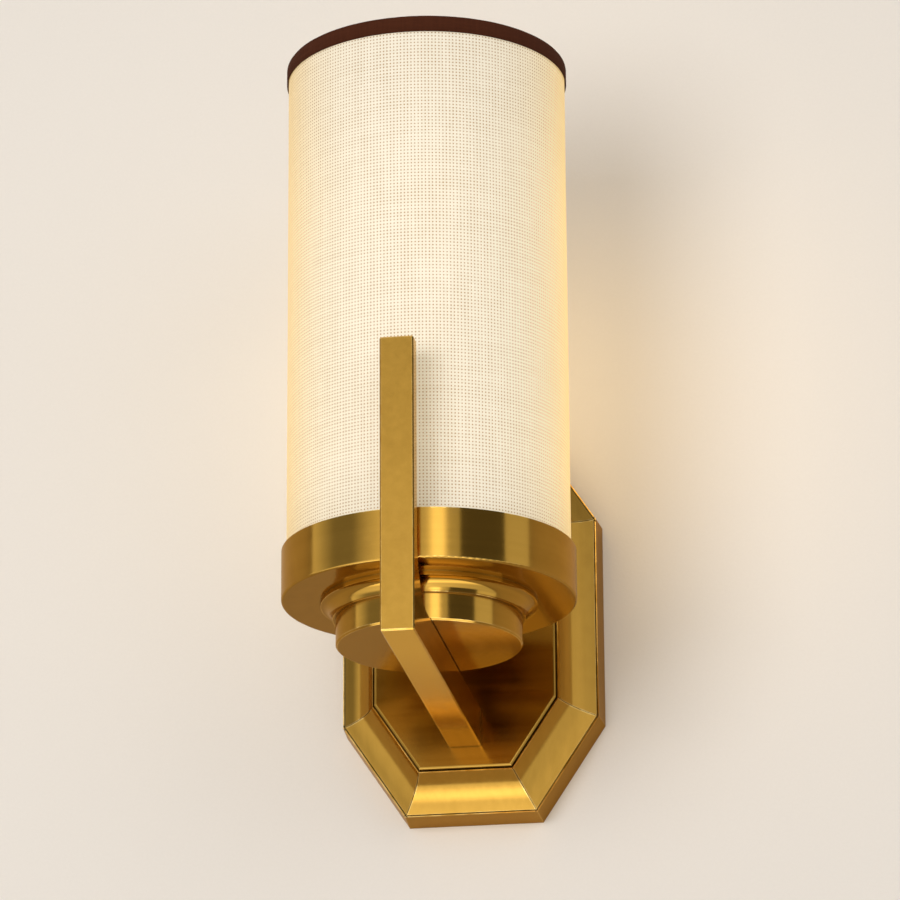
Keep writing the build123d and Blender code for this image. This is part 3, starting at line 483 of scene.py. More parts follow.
zinc = plated_finish("zinc_plate", (0.60, 0.61, 0.62), (0.62, 0.57, 0.40), 0.34)
green_steel = plated_finish("green_steel", (0.06, 0.30, 0.11), (0.14, 0.34, 0.12), 0.36)
copper = plated_finish("bare_copper", (0.78, 0.36, 0.20), (0.48, 0.19, 0.10), 0.3)
nickel = plated_finish("nickel_plate", (0.70, 0.66, 0.58), (0.55, 0.48, 0.38), 0.22)
cap_metal = plated_finish("lamp_cap_metal", (0.74, 0.73, 0.71), (0.55, 0.53, 0.50), 0.26)
finish_node(
    zinc, "crossbar", "plate_studs", "stud_nuts", "stiffener", "arm_nipple", "arm_washer", "arm_nut",
    "dowel_pin", "stem_nipple", "cup_washer", "cup_nut", "terminal_screws",
)
finish_node(green_steel, "ground_screws")
finish_node(copper, "ground_lead")
finish_node(nickel, "screw_shell", "centre_contact", "lamp_tip")
finish_node(cap_metal, "lamp_cap")


# %% [markdown]
# ### Moulded and coated pieces
# Phenolic mouldings have a fine orange-peel skin, wire insulation is smooth, and the shade's
# wire frame is enamelled. One function covers them, with the skin's grain size and height as
# its values.

# %% Moulded pieces
def moulded_finish(name, colour, worn, roughness, skin, relief):
    material, tree, shader = new_finish(name, 0.0, roughness)
    place = object_place(tree)
    age = use_group(tree, AGE, {"Place": place, "Size": 9.0, "Amount": 0.6})
    wear = use_group(tree, WEAR, {"Place": place, "Width": 0.3, "Amount": 0.5})
    darker = tuple(0.75 * part for part in colour)
    mottled = mix_colours(tree, age["Mask"], colour, darker)
    peel = noise(tree, place, PER_METRE / skin)
    fill_inputs(tree, shader, {
        "Base Color": mix_colours(tree, wear["Mask"], mottled, worn),
        "Roughness": map_range(tree, peel, 0.0, 1.0, roughness - 0.07, roughness + 0.09),
    })
    add_bump(tree, shader, peel, relief)
    return material


phenolic = moulded_finish("black_phenolic", (0.022, 0.018, 0.016), (0.07, 0.055, 0.045), 0.32, 0.6, 0.012)
black_wire = moulded_finish("black_insulation", (0.018, 0.018, 0.02), (0.05, 0.05, 0.05), 0.42, 0.8, 0.01)
white_wire = moulded_finish("white_insulation", (0.78, 0.77, 0.72), (0.85, 0.84, 0.8), 0.42, 0.8, 0.01)
enamel = moulded_finish("white_enamel", (0.82, 0.81, 0.78), (0.58, 0.56, 0.52), 0.3, 1.4, 0.015)
black_glass = moulded_finish("black_glass", (0.012, 0.011, 0.014), (0.03, 0.03, 0.03), 0.12, 2.0, 0.01)
finish_node(phenolic, "holder_cap", "holder_body", "clamp_ring")
finish_node(black_wire, "lead_live")
finish_node(white_wire, "lead_neutral")
finish_node(enamel, "shade_carrier", "foot_ring")
finish_node(black_glass, "lamp_insulator")

# %% [markdown]
# ### Lamp glass and glowing rods
# The glass is thin and clear, so a plain glass shader does it. The rods are coated with a
# yellow phosphor and glow; the coating is a little grainy and weaker at both ends.

# %% Glass
glass, glass_tree, glass_shader = new_finish(
    "lamp_glass", 0.0, 0.02, transmission_weight=1.0, base_color=(0.98, 0.98, 0.97, 1.0), ior=1.45
)
glass_wave = noise(glass_tree, object_place(glass_tree), 60.0, 1.0)
add_bump(glass_tree, glass_shader, glass_wave, 0.02)
finish_node(glass, "lamp_glass", "lamp_stem")

# %% Glowing rods
rod_low, rod_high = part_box("lamp_rods")
rod_fade = 4 * MM
rod_dark = (0.35, 0.12, 0.02)
rod_glow = (1.0, 0.72, 0.34)
rods, rods_tree, rods_shader = new_finish("glowing_rods", 0.0, 0.6, emission_strength=3.0)
rods_place = object_place(rods_tree)
rods_height = vector_parts(rods_tree, rods_place)["Z"]
from_foot = map_range(rods_tree, rods_height, rod_low.z, rod_low.z + rod_fade)
from_head = map_range(rods_tree, rods_height, rod_high.z, rod_high.z - rod_fade)
lit_length = multiply(rods_tree, from_foot, from_head)
phosphor = noise(rods_tree, rods_place, 1500.0)
grainy = calculate(rods_tree, "MULTIPLY_ADD", phosphor, 0.3, 0.8)
rods_level = multiply(rods_tree, lit_length, grainy)
fill_inputs(rods_tree, rods_shader, {
    "Emission Color": mix_colours(rods_tree, rods_level, rod_dark, rod_glow),
    "Base Color": mix_colours(rods_tree, phosphor, (0.75, 0.5, 0.1), (0.9, 0.66, 0.2)),
})
finish_node(rods, "lamp_rods")

# %% [markdown]
# ## The shade
# ### What the light does in the cloth
# By day the linen shows its own cream colour, and from behind it glows yellow. Both are in
# the photograph at once: the middle is lit from the room and looks almost white, and the two
# flanks, which the room light only grazes, are yellow. The glow is an emission that is
# stronger and yellower towards the flanks. These are the flanks that the camera sees, so they
# are turned a little with it, and the right one is stronger. On the wall side the glow is
# strongest at the height of the lamp, where light goes to and fro between cloth and wall.

# %% The glow behind the cloth
shade_low, shade_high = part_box("linen_shade")
lamp_low, lamp_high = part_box("lamp_glass")
GLOW, glow_in, glow_out = new_group(
    "glow_behind_cloth",
    {"Place": "Vector", "Middle": 0.5, "Flank": 1.0, "Back": 1.0},
    ["Level", "Flank"],
)
glow_split = vector_parts(GLOW, glow_in["Place"])
glow_height = glow_split["Z"]
shade_reach = (shade_high.x - shade_low.x) / 2
flank_turn = radians(9)
from_axis = calculate(GLOW, "SUBTRACT", glow_split["Y"], lamp_axis_y)
turned = multiply(GLOW, from_axis, sin(flank_turn))
across = calculate(GLOW, "MULTIPLY_ADD", glow_split["X"], cos(flank_turn), turned)
flank_share = calculate(GLOW, "DIVIDE", across, shade_reach)
flank_power = calculate(GLOW, "POWER", calculate(GLOW, "ABSOLUTE", flank_share), 5.0)
side_reach = 0.8 * shade_reach
right_side = map_range(GLOW, glow_split["X"], -side_reach, side_reach, smooth=True)
wall_side = map_range(GLOW, glow_split["Y"], lamp_axis_y, lamp_axis_y + shade_reach, smooth=True)

# %% How strong it is on the room side and on the wall side
right_flank = calculate(GLOW, "MULTIPLY_ADD", right_side, 0.35, 0.9)
flank_level = multiply(GLOW, glow_in["Flank"], right_flank)
front_level = map_range(GLOW, flank_power, 0.0, 1.0, glow_in["Middle"], flank_level)
glow_centre = (lamp_low.z + lamp_high.z) / 2 + 20 * MM
glow_reach = 115 * MM
from_centre = calculate(GLOW, "ABSOLUTE", calculate(GLOW, "SUBTRACT", glow_height, glow_centre))
near_lamp = map_range(GLOW, from_centre, 0.0, glow_reach, 1.0, 0.1, smooth=True)
right_back = calculate(GLOW, "MULTIPLY_ADD", right_side, 0.45, 0.65)
back_level = multiply(GLOW, multiply(GLOW, near_lamp, right_back), glow_in["Back"])
level_here = mix_numbers(GLOW, wall_side, front_level, back_level)
fade_start = lamp_high.z - 20 * MM
toward_top = map_range(GLOW, glow_height, fade_start, shade_high.z, 1.0, 0.75, smooth=True)
toward_foot = map_range(GLOW, glow_height, lamp_low.z, shade_low.z, 1.0, 0.7, smooth=True)
both_ends = multiply(GLOW, toward_top, toward_foot)
yellow_back = multiply(GLOW, wall_side, right_side)
fill_inputs(GLOW, glow_out, {
    "Level": multiply(GLOW, level_here, both_ends),
    "Flank": calculate(GLOW, "MAXIMUM", flank_power, yellow_back),
})

# %% [markdown]
# ### Linen
# The yarns are cream and the holes between them show the lit liner, so a hole is a darker,
# warmer dot. The weave's height goes to a bump of a tenth of a millimetre.

# %% Linen finish
yarn_dark = (0.62, 0.57, 0.49)
yarn_pale = (0.79, 0.745, 0.665)
yarn_painted_at_flank = (0.55, 0.38, 0.14)
hole_colour = (0.31, 0.20, 0.11)
glow_middle = (1.0, 0.83, 0.46)
glow_flank = (1.0, 0.67, 0.20)
glow_in_hole = (0.78, 0.45, 0.17)
linen, linen_tree, linen_shader = new_finish("linen", 0.0, 0.85, sheen_weight=0.15, emission_strength=1.0)
linen_place = object_place(linen_tree)
linen_uv = add_node(linen_tree, "ShaderNodeUVMap", uv_map="UVMap").outputs[0]
linen_weave = use_group(linen_tree, WEAVE, {"UV": linen_uv, "Pitch": 1.57, "Hole": 0.44, "Slub": 0.22})
linen_glow = use_group(
    linen_tree, GLOW, {"Place": linen_place, "Middle": 0.30, "Flank": 0.60, "Back": 2.1}
)
yarn_colour = mix_colours(linen_tree, linen_weave["Yarn Tone"], yarn_dark, yarn_pale)
# Where the glow is yellow, the yarns' own colour turns yellower too: painted light.
flank_glow_tint = multiply(linen_tree, linen_glow["Flank"], 0.75)
yarn_tinted_by_glow = mix_colours(linen_tree, flank_glow_tint, yarn_colour, yarn_painted_at_flank)
glow_colour = mix_colours(linen_tree, linen_glow["Flank"], glow_middle, glow_flank)
weave_glow = mix_colours(linen_tree, linen_weave["Hole"], glow_colour, glow_in_hole)
glow_inputs = {0: weave_glow, "Scale": linen_glow["Level"]}
fill_inputs(linen_tree, linen_shader, {
    "Base Color": mix_colours(linen_tree, linen_weave["Hole"], yarn_tinted_by_glow, hole_colour),
    "Emission Color": vector_math(linen_tree, "SCALE", glow_inputs),
})
add_bump(linen_tree, linen_shader, linen_weave["Height"], 0.12)

# %% Liner finish
liner, liner_tree, liner_shader = new_finish("shade_liner", 0.0, 0.5, emission_strength=1.0)
liner_place = object_place(liner_tree)
# The liner's emission is painted light, the lamp's glow on its inside, from the same glow group as the
# linen.
liner_glow = use_group(liner_tree, GLOW, {"Place": liner_place, "Middle": 0.5, "Flank": 0.6, "Back": 0.6})
liner_age = use_group(liner_tree, AGE, {"Place": liner_place, "Size": 45.0, "Amount": 0.4})
liner_pale, liner_aged = (0.78, 0.74, 0.66), (0.72, 0.64, 0.50)
liner_dark, liner_lit = (0.0, 0.0, 0.0), (1.0, 0.74, 0.36)
fill_inputs(liner_tree, liner_shader, {
    "Base Color": mix_colours(liner_tree, liner_age["Mask"], liner_pale, liner_aged),
    "Emission Color": mix_colours(liner_tree, liner_glow["Level"], liner_dark, liner_lit),
})
finish_node(liner, "shade_liner")

# %% Ribbon finish
ribbon, ribbon_tree, ribbon_shader = new_finish("brown_ribbon", 0.0, 0.9, specular_ior_level=0.15)
ribbon_uv = add_node(ribbon_tree, "ShaderNodeUVMap", uv_map="UVMap").outputs[0]
ribbon_weave = use_group(ribbon_tree, WEAVE, {"UV": ribbon_uv, "Pitch": 0.55, "Hole": 0.2, "Slub": 0.6})
ribbon_dark, ribbon_pale = (0.045, 0.011, 0.004), (0.085, 0.024, 0.010)
ribbon_yarn = mix_colours(ribbon_tree, ribbon_weave["Yarn Tone"], ribbon_dark, ribbon_pale)
ribbon_colour = mix_colours(ribbon_tree, ribbon_weave["Hole"], ribbon_yarn, (0.012, 0.004, 0.002))
fill_inputs(ribbon_tree, ribbon_shader, {"Base Color": ribbon_colour})
add_bump(ribbon_tree, ribbon_shader, ribbon_weave["Height"], 0.06)
finish_node(ribbon, "top_ring")

# %% [markdown]
# ## Pieces made with Geometry Nodes
# Cloth wrapped round a drum, and a screw thread rolled into a tube, are the same thing to
# Geometry Nodes: a flat grid whose one side becomes an angle and whose other side becomes a
# height. So one tree makes them all. Its inputs are real sizes, and a helper turns the result
# into a plain mesh.


# %% From a tree to a plain mesh
def make_piece(name, tree, values):
    """Runs the tree on an empty mesh and keeps what comes out as a mesh of its own."""
    piece = add_object(name, bpy.data.meshes.new(name + "_start"))
    modifier = piece.modifiers.new("shape", "NODES")
    modifier.node_group = tree
    sockets = [item for item in tree.interface.items_tree if item.in_out == "INPUT"]
    identifiers = {item.name: item.identifier for item in sockets}
    for label, value in values.items():
        modifier[identifiers[label]] = value
    depsgraph = bpy.context.evaluated_depsgraph_get()
    made = bpy.data.meshes.new_from_object(piece.evaluated_get(depsgraph), depsgraph=depsgraph)
    piece.modifiers.remove(modifier)
    piece.data = made
    made.name = name
    print(name, "has", len(made.polygons), "faces")
    return piece


def shade_smooth(piece):
    for polygon in piece.data.polygons:
        polygon.use_smooth = True


def give_gauge(piece, thickness, offset):
    """Cloth and sheet metal are modelled as a surface, and get their thickness here."""
    shell = piece.modifiers.new("gauge", "SOLIDIFY")
    shell.thickness = thickness
    shell.offset = offset


# %% Steps that both trees share
def store_uv(tree, geometry, along, up):
    """Keeps the flat coordinates as a UV map, in metres."""
    inputs = {"Geometry": geometry, "Name": "UVMap", "Value": combine(tree, along, up)}
    kind = "GeometryNodeStoreNamedAttribute"
    return add_node(tree, kind, inputs, data_type="FLOAT2", domain="CORNER").outputs[0]


def hand_out(tree, geometry, finish, group_out):
    """Gives the geometry its material and sends it out of the tree."""
    real = add_node(tree, "GeometryNodeRealizeInstances", {"Geometry": geometry}).outputs[0]
    inputs = {"Geometry": real, "Material": finish}
    done = add_node(tree, "GeometryNodeSetMaterial", inputs).outputs[0]
    tree.links.new(done, group_out.inputs[0])


# %% [markdown]
# The grid's X coordinate runs once round and its Y coordinate runs up. Dividing X by the
# radius gives the angle, and sine and cosine of the angle give the place. A thread adds one
# more term to the radius: a wave whose phase is the height minus a turn of the angle, which
# is exactly what a helix is.

# %% A grid wrapped round an upright axis
WRAP, wrap_in, wrap_out = new_group("wrap_round", {
    "Radius": 0.06,
    "Foot": 0.0,
    "Height": 0.2,
    "Overlap": 0.0,
    "Lift": 0.0,
    "Ripple": 0.0,
    "Thread Depth": 0.0,
    "Thread Pitch": 0.001,
    "Plain End": 0.0001,
    "Steps Round": 128,
    "Steps Up": 32,
    "Finish": "Material",
}, ["Geometry"], "GeometryNodeTree")
around = calculate(WRAP, "MULTIPLY_ADD", wrap_in["Radius"], tau, wrap_in["Overlap"])
wrap_grid = add_node(WRAP, "GeometryNodeMeshGrid", {
    "Size X": around,
    "Size Y": wrap_in["Height"],
    "Vertices X": wrap_in["Steps Round"],
    "Vertices Y": wrap_in["Steps Up"],
})
grid_place = vector_parts(WRAP, add_node(WRAP, "GeometryNodeInputPosition").outputs[0])
run_round = calculate(WRAP, "MULTIPLY_ADD", around, 0.5, grid_place["X"])
run_up = calculate(WRAP, "MULTIPLY_ADD", wrap_in["Height"], 0.5, grid_place["Y"])
flat_grid = store_uv(WRAP, wrap_grid.outputs["Mesh"], run_round, run_up)

# %% Once round from the wall side, where the end climbs onto the start
turn_round = calculate(WRAP, "DIVIDE", run_round, wrap_in["Radius"])
sine = calculate(WRAP, "SINE", turn_round)
cosine = calculate(WRAP, "COSINE", turn_round)
climb_length = multiply(WRAP, wrap_in["Overlap"], 1.6)
climb_start = calculate(WRAP, "SUBTRACT", around, climb_length)
climb_end = calculate(WRAP, "SUBTRACT", around, wrap_in["Overlap"])
climbing = map_range(WRAP, run_round, climb_start, climb_end, 0.0, wrap_in["Lift"])
ripple_place = combine(WRAP, sine, cosine, multiply(WRAP, run_up, 4.0))
ripple_noise = noise(WRAP, ripple_place, 2.6, 1.0)
ripple_share = calculate(WRAP, "SUBTRACT", ripple_noise, 0.5)
ripple = multiply(WRAP, ripple_share, wrap_in["Ripple"])

# %% The groove of a thread, which runs out at both ends
turns_up = calculate(WRAP, "DIVIDE", run_up, wrap_in["Thread Pitch"])
phase = calculate(WRAP, "SUBTRACT", multiply(WRAP, turns_up, tau), turn_round)
groove = calculate(WRAP, "MULTIPLY_ADD", calculate(WRAP, "COSINE", phase), 0.5, -0.5)
to_top = calculate(WRAP, "SUBTRACT", wrap_in["Height"], run_up)
to_end = calculate(WRAP, "MINIMUM", run_up, to_top)
deepening = map_range(WRAP, to_end, 0.0, wrap_in["Plain End"], smooth=True)
groove_depth = multiply(WRAP, wrap_in["Thread Depth"], deepening)
threaded = calculate(WRAP, "MULTIPLY_ADD", groove, groove_depth, wrap_in["Radius"])

# %% Every point of the grid goes to its place round the axis
reach_out = calculate(WRAP, "ADD", calculate(WRAP, "ADD", threaded, climbing), ripple)
wrapped = add_node(WRAP, "GeometryNodeSetPosition", {
    "Geometry": flat_grid,
    "Position": combine(
        WRAP,
        multiply(WRAP, multiply(WRAP, reach_out, -1.0), sine),
        multiply(WRAP, reach_out, cosine),
        calculate(WRAP, "ADD", run_up, wrap_in["Foot"]),
    ),
})
seam_inputs = {"Geometry": wrapped.outputs[0], "Distance": 0.01 * MM}
closed_seam = add_node(WRAP, "GeometryNodeMergeByDistance", seam_inputs)
hand_out(WRAP, closed_seam.outputs[0], wrap_in["Finish"], wrap_out)
print("wrapping tree:", len(WRAP.nodes), "nodes")


# %% [markdown]
# ### The linen on its liner
# Linen is cut as one rectangle, wrapped tight round the liner and glued where its ends lap, on
# the side that faces the wall. It was flat before, so its flat size is known exactly.

# %% Linen
def move_to_lamp_axis(piece):
    """Moves the mesh, so that the object itself stays at the origin."""
    piece.data.transform(Matrix.Translation((0, lamp_axis_y, 0)))
    piece.data.update()


linen_radius = shade_reach
linen_height = shade_high.z - shade_low.z
linen_overlap = 8 * MM
linen_gauge = 0.35 * MM
linen_piece = make_piece("linen_wrap", WRAP, {
    "Radius": linen_radius, "Foot": shade_low.z, "Height": linen_height, "Overlap": linen_overlap,
    "Lift": linen_gauge, "Ripple": 0.25 * MM, "Steps Round": 360, "Steps Up": 60, "Finish": linen,
})
move_to_lamp_axis(linen_piece)
shade_smooth(linen_piece)
give_gauge(linen_piece, linen_gauge, -1)
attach(linen_piece, "shade")
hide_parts("linen_shade")

# %% [markdown]
# ### The ribbon over the top edge
# The ribbon straddles the top edge and the wire ring. Its section is a narrow upside-down U,
# swept round the shade by Curve to Mesh. The distance round the circle and the distance along
# the section are kept for the UV map before the sweep, because the sweep has none of its own.

# %% Ribbon tree
RIBBON, ribbon_in, ribbon_out = new_group("ribbon_round", {
    "Section": "Object",
    "Radius": 0.06,
    "Pucker": 0.0002,
    "Steps": 240,
    "Finish": "Material",
}, ["Geometry"], "GeometryNodeTree")


def keep_distance(geometry):
    """The geometry, and how far along its curve each point lies."""
    kept = add_node(RIBBON, "GeometryNodeCaptureAttribute", {"Geometry": geometry}, domain="POINT")
    kept.capture_items.new("FLOAT", "distance")
    distance = add_node(RIBBON, "GeometryNodeSplineParameter").outputs["Length"]
    RIBBON.links.new(distance, kept.inputs[1])
    return kept.outputs[0], kept.outputs[1]


hoop_inputs = {"Resolution": ribbon_in["Steps"], "Radius": ribbon_in["Radius"]}
hoop = add_node(RIBBON, "GeometryNodeCurvePrimitiveCircle", hoop_inputs)
section_info = add_node(RIBBON, "GeometryNodeObjectInfo", {"Object": ribbon_in["Section"]})
hoop_curve, hoop_distance = keep_distance(hoop.outputs["Curve"])
section_line, section_distance = keep_distance(section_info.outputs["Geometry"])

# %% Sweep, pucker and finish
sweep_inputs = {"Curve": hoop_curve, "Profile Curve": section_line}
swept = add_node(RIBBON, "GeometryNodeCurveToMesh", sweep_inputs).outputs[0]
mapped = store_uv(RIBBON, swept, hoop_distance, section_distance)
pucker_noise = add_node(RIBBON, "ShaderNodeTexNoise", {"Scale": 90.0, "Detail": 2.0}).outputs[0]
pucker_share = calculate(RIBBON, "SUBTRACT", pucker_noise, 0.5)
pucker_size = multiply(RIBBON, pucker_share, ribbon_in["Pucker"])
outwards = add_node(RIBBON, "GeometryNodeInputNormal").outputs[0]
pucker_move = vector_math(RIBBON, "SCALE", {0: outwards, "Scale": pucker_size})
pucker_inputs = {"Geometry": mapped, "Offset": pucker_move}
puckered = add_node(RIBBON, "GeometryNodeSetPosition", pucker_inputs).outputs[0]
hand_out(RIBBON, puckered, ribbon_in["Finish"], ribbon_out)

# %% The ribbon's section, drawn from the inside edge over the top to the outside edge
trim_low, trim_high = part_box("top_trim")
trim_radius = (trim_high.x - trim_low.x) / 2
ribbon_gauge = 0.5 * MM
ribbon_width = 5.0 * MM - ribbon_gauge
ribbon_outside = trim_high.z - trim_low.z - ribbon_gauge / 2
ribbon_inside = 5.4 * MM
fold_radius = 1.1 * MM
fold_steps = 6


def ribbon_section():
    """Points of an upside-down U with rounded shoulders: x from the middle, y up."""
    half = ribbon_width / 2
    top = trim_high.z - ribbon_gauge / 2
    points = [(-half, top - ribbon_inside)]
    for middle_x, first in ((-half + fold_radius, pi), (half - fold_radius, pi / 2)):
        for step in range(fold_steps + 1):
            turn = first - step / fold_steps * pi / 2
            points.append((middle_x + fold_radius * cos(turn), top - fold_radius + fold_radius * sin(turn)))
    points.append((half, top - ribbon_outside))
    return points


section_curve = bpy.data.curves.new("ribbon_section", "CURVE")
section_spline = section_curve.splines.new("POLY")
section_points = ribbon_section()
section_spline.points.add(len(section_points) - 1)
for point, (x, y) in zip(section_spline.points, section_points):
    point.co = (x, -y, 0, 1)     # the sweep lays the section's Y downwards
section_object = add_object("ribbon_section", section_curve)
ribbon_piece = make_piece("brown_ribbon", RIBBON, {
    "Section": section_object, "Radius": trim_radius - ribbon_gauge / 2 - ribbon_width / 2,
    "Pucker": 0.22 * MM, "Steps": 300, "Finish": ribbon,
})
bpy.data.objects.remove(section_object)
move_to_lamp_axis(ribbon_piece)
shade_smooth(ribbon_piece)
give_gauge(ribbon_piece, ribbon_gauge, 0)
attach(ribbon_piece, "shade")
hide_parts("top_trim")


# %% [markdown]
# ### Screw threads
# The studs, the arm's nipple and the lamp's cap have threads. The same wrapping tree makes
# them, with a thread depth and a pitch. The two studs and the nipple lie along Y, so their
# meshes are tipped over before they are placed.

# %% Helpers for threaded pieces
def lay_along_y(piece, x, z):
    piece.data.transform(Matrix.Rotation(pi / 2, 4, "X"))
    piece.data.transform(Matrix.Translation((x, 0, z)))
    piece.data.update()


def join_pieces(pieces):
    """Puts the meshes of all the pieces into the first one."""
    whole = bmesh.new()
    for piece in pieces:
        whole.from_mesh(piece.data)
    whole.to_mesh(pieces[0].data)
    whole.free()
    for piece in pieces[1:]:
        bpy.data.objects.remove(piece)
    return pieces[0]


def finish_thread(piece, wall, node, body):
    shade_smooth(piece)
    give_gauge(piece, wall, -1)
    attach(piece, body)
    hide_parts(node)


# %% Threads that lie along Y
rod_steps_round = 33
rows_per_turn = 8


def threaded_rods(name, node, pitch, depth, wall, centres):
    """Threaded tubes along Y in place of a CAD node. Each centre is an X and a Z."""
    low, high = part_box(node)
    radius = (high.z - low.z) / 2
    length = high.y - low.y
    pieces = []
    for x, z in centres:
        piece = make_piece(name, WRAP, {
            "Radius": radius, "Foot": -high.y, "Height": length, "Finish": zinc,
            "Thread Depth": depth, "Thread Pitch": pitch, "Plain End": pitch,
            "Steps Round": rod_steps_round, "Steps Up": int(length / pitch * rows_per_turn),
        })
        lay_along_y(piece, x, z)
        pieces.append(piece)
    finish_thread(join_pieces(pieces), wall, node, "fixture")


stud_low, stud_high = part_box("plate_studs")
stud_reach = stud_high.x - (stud_high.z - stud_low.z) / 2
stud_centres = [(-stud_reach, 0), (stud_reach, 0)]
threaded_rods("threaded_studs", "plate_studs", 0.7 * MM, 0.35 * MM, 1.2 * MM, stud_centres)
nipple_low, nipple_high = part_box("arm_nipple")
nipple_centre = (0, (nipple_low.z + nipple_high.z) / 2)
threaded_rods("threaded_nipple", "arm_nipple", 1.0 * MM, 0.4 * MM, 1.4 * MM, [nipple_centre])

# %% [markdown]
# The lamp's cap is thin sheet with a round thread rolled into it, so its thread is coarse and
# soft, with a plain collar at both ends. It shows when the shade is lifted and the lamp is
# unscrewed.

# %% Lamp cap
cap_low, cap_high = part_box("lamp_cap")
cap_thread = make_piece("rolled_cap", WRAP, {
    "Radius": (cap_high.x - cap_low.x) / 2, "Foot": cap_low.z, "Height": cap_high.z - cap_low.z,
    "Thread Depth": 1.3 * MM, "Thread Pitch": 3.63 * MM, "Plain End": 3.0 * MM,
    "Steps Round": 97, "Steps Up": 90, "Finish": cap_metal,
})
move_to_lamp_axis(cap_thread)
finish_thread(cap_thread, 0.4 * MM, "lamp_cap", "lamp")

# %% [markdown]
# ## Walls, light and the world
# The light hangs on a plain pale wall, which has the hole of a wall box behind the plate. The
# wall is one-sided: seen from behind it is clear, so that the back of the light can be looked
# at. Metal shows the wall a little dimmer, as if cards shaded the wall beside the light. A
# large soft lamp on the left throws the soft shadow to the right.

# %% Wall
def mix_shaders(tree, factor, first, second):
    return add_node(tree, "ShaderNodeMixShader", {0: factor, 1: first, 2: second}).outputs[0]


wall_dark, wall_pale = (0.84, 0.785, 0.715), (0.87, 0.815, 0.745)
metal_sees = (0.58, 0.46, 0.33, 1.0)
wall_finish, wall_tree, wall_shader = new_finish("wall_paint", 0.0, 0.8)
wall_grain = noise(wall_tree, object_place(wall_tree), 700.0, 3.0)
wall_colour = mix_colours(wall_tree, wall_grain, wall_dark, wall_pale)
fill_inputs(wall_tree, wall_shader, {"Base Color": wall_colour})
add_bump(wall_tree, wall_shader, wall_grain, 0.05)
clear = add_node(wall_tree, "ShaderNodeBsdfTransparent").outputs[0]
wall_in_metal = add_node(wall_tree, "ShaderNodeBsdfDiffuse", {"Color": metal_sees}).outputs[0]
from_metal = add_node(wall_tree, "ShaderNodeLightPath").outputs["Is Glossy Ray"]
from_behind = add_node(wall_tree, "ShaderNodeNewGeometry").outputs["Backfacing"]
wall_front = mix_shaders(wall_tree, from_metal, wall_shader.outputs[0], wall_in_metal)
wall_seen = mix_shaders(wall_tree, from_behind, wall_front, clear)
fill_inputs(wall_tree, wall_tree.nodes["Material Output"], {"Surface": wall_seen})

# %% Wall mesh: a wide frame round the hole of the wall box
wall_reach = 3.0
hole_x = 50 * MM
hole_z = 60 * MM
wall_gap = 0.02 * MM


def corners(across, up):
    return [(-across, -up), (across, -up), (across, up), (-across, up)]


def plain_mesh(name, points, faces, finish):
    mesh = bpy.data.meshes.new(name)
    mesh.from_pydata(points, [], faces)
    mesh.materials.append(finish)
    return add_object(name, mesh)


wall_corners = corners(hole_x, hole_z) + corners(wall_reach, wall_reach)
wall_points = [(x, wall_gap, z) for x, z in wall_corners]
wall_faces = [(i + 4, (i + 1) % 4 + 4, (i + 1) % 4, i) for i in range(4)]
wall = plain_mesh("wall", wall_points, wall_faces, wall_finish)
print("wall faces look towards", [round(c, 2) for c in wall.data.polygons[0].normal])


# %% Lamps
def soft_lamp(name, azimuth, elevation, distance, size, power, colour):
    """An oval field of light that faces the shade. Azimuth 0 is straight in front, 90 is right."""
    data = bpy.data.lights.new(name, "AREA")
    data.shape = "ELLIPSE"
    data.size, data.size_y = size
    data.energy = power
    data.color = colour
    lamp = add_object(name, data)
    side, rise = radians(azimuth), radians(elevation)
    away = Vector((sin(side) * cos(rise), -cos(side) * cos(rise), sin(rise)))
    target = Vector((0, lamp_axis_y, 80 * MM))
    turn = away.to_track_quat("Z", "Y").to_matrix().to_4x4()
    lamp.matrix_world = Matrix.Translation(target + away * distance) @ turn
    lamp.visible_glossy = False


soft_lamp("key", -15, -4, 1.6, (0.8, 0.7), 12.6, (1.0, 0.985, 0.975))
soft_lamp("fill", 40, 15, 2.2, (1.6, 1.6), 5.5, (1.0, 0.975, 0.955))

# %% [markdown]
# A dark card stands close in front on the right, which only metal shows. It gives the cup and the
# disc their dark band, while the plate behind, from which the card is seen at another angle,
# keeps its bright coves.

# %% Dark card
card_finish = new_finish(
    "dark_card", 0.0, 0.9, base_color=(0.01, 0.01, 0.01, 1.0),
    emission_color=(0.95, 0.85, 0.70, 1.0), emission_strength=0.12,
)[0]
card_foot, card_top = -70 * MM, 150 * MM
wall_end = (191 * MM, -242 * MM)
room_end = (113 * MM, -335 * MM)
card_points = [
    (*wall_end, card_foot), (*room_end, card_foot), (*room_end, card_top), (*wall_end, card_top),
]
card = plain_mesh("dark_card", card_points, [(0, 1, 2, 3)], card_finish)
card.visible_camera = False
card.visible_diffuse = False
card.visible_transmission = False
card.visible_shadow = False

# %% [markdown]
# Brass is a mirror, so it needs a studio to reflect. The world is a pale backdrop for every ray
# that shows it: camera, glass and metal. Metal also shows the studio in front of the backdrop,
# a few tall bright windows with dark cards between them and a bright floor. Everything dull
# gets an even soft light.

# %% World
world = bpy.data.worlds.new("studio")
bpy.context.scene.world = world
world.use_nodes = True
world_tree = world.node_tree
world_tree.nodes.clear()
WINDOW_STOPS = [
    (-180, 0.9), (-135, 0.6), (-110, 0.8), (-96, 1.2), (-84, 0.8), (-70, 0.35), (-52, 0.35), (-40, 0.9),
    (-28, 1.3), (-14, 1.08), (2, 0.92), (8, 1.15), (13, 2.6), (20, 2.6), (24, 0.8), (32, 0.75),
    (50, 0.75), (70, 0.85), (92, 0.85), (100, 0.6), (120, 0.5), (180, 0.9),
]
brightest = max(level for _, level in WINDOW_STOPS)


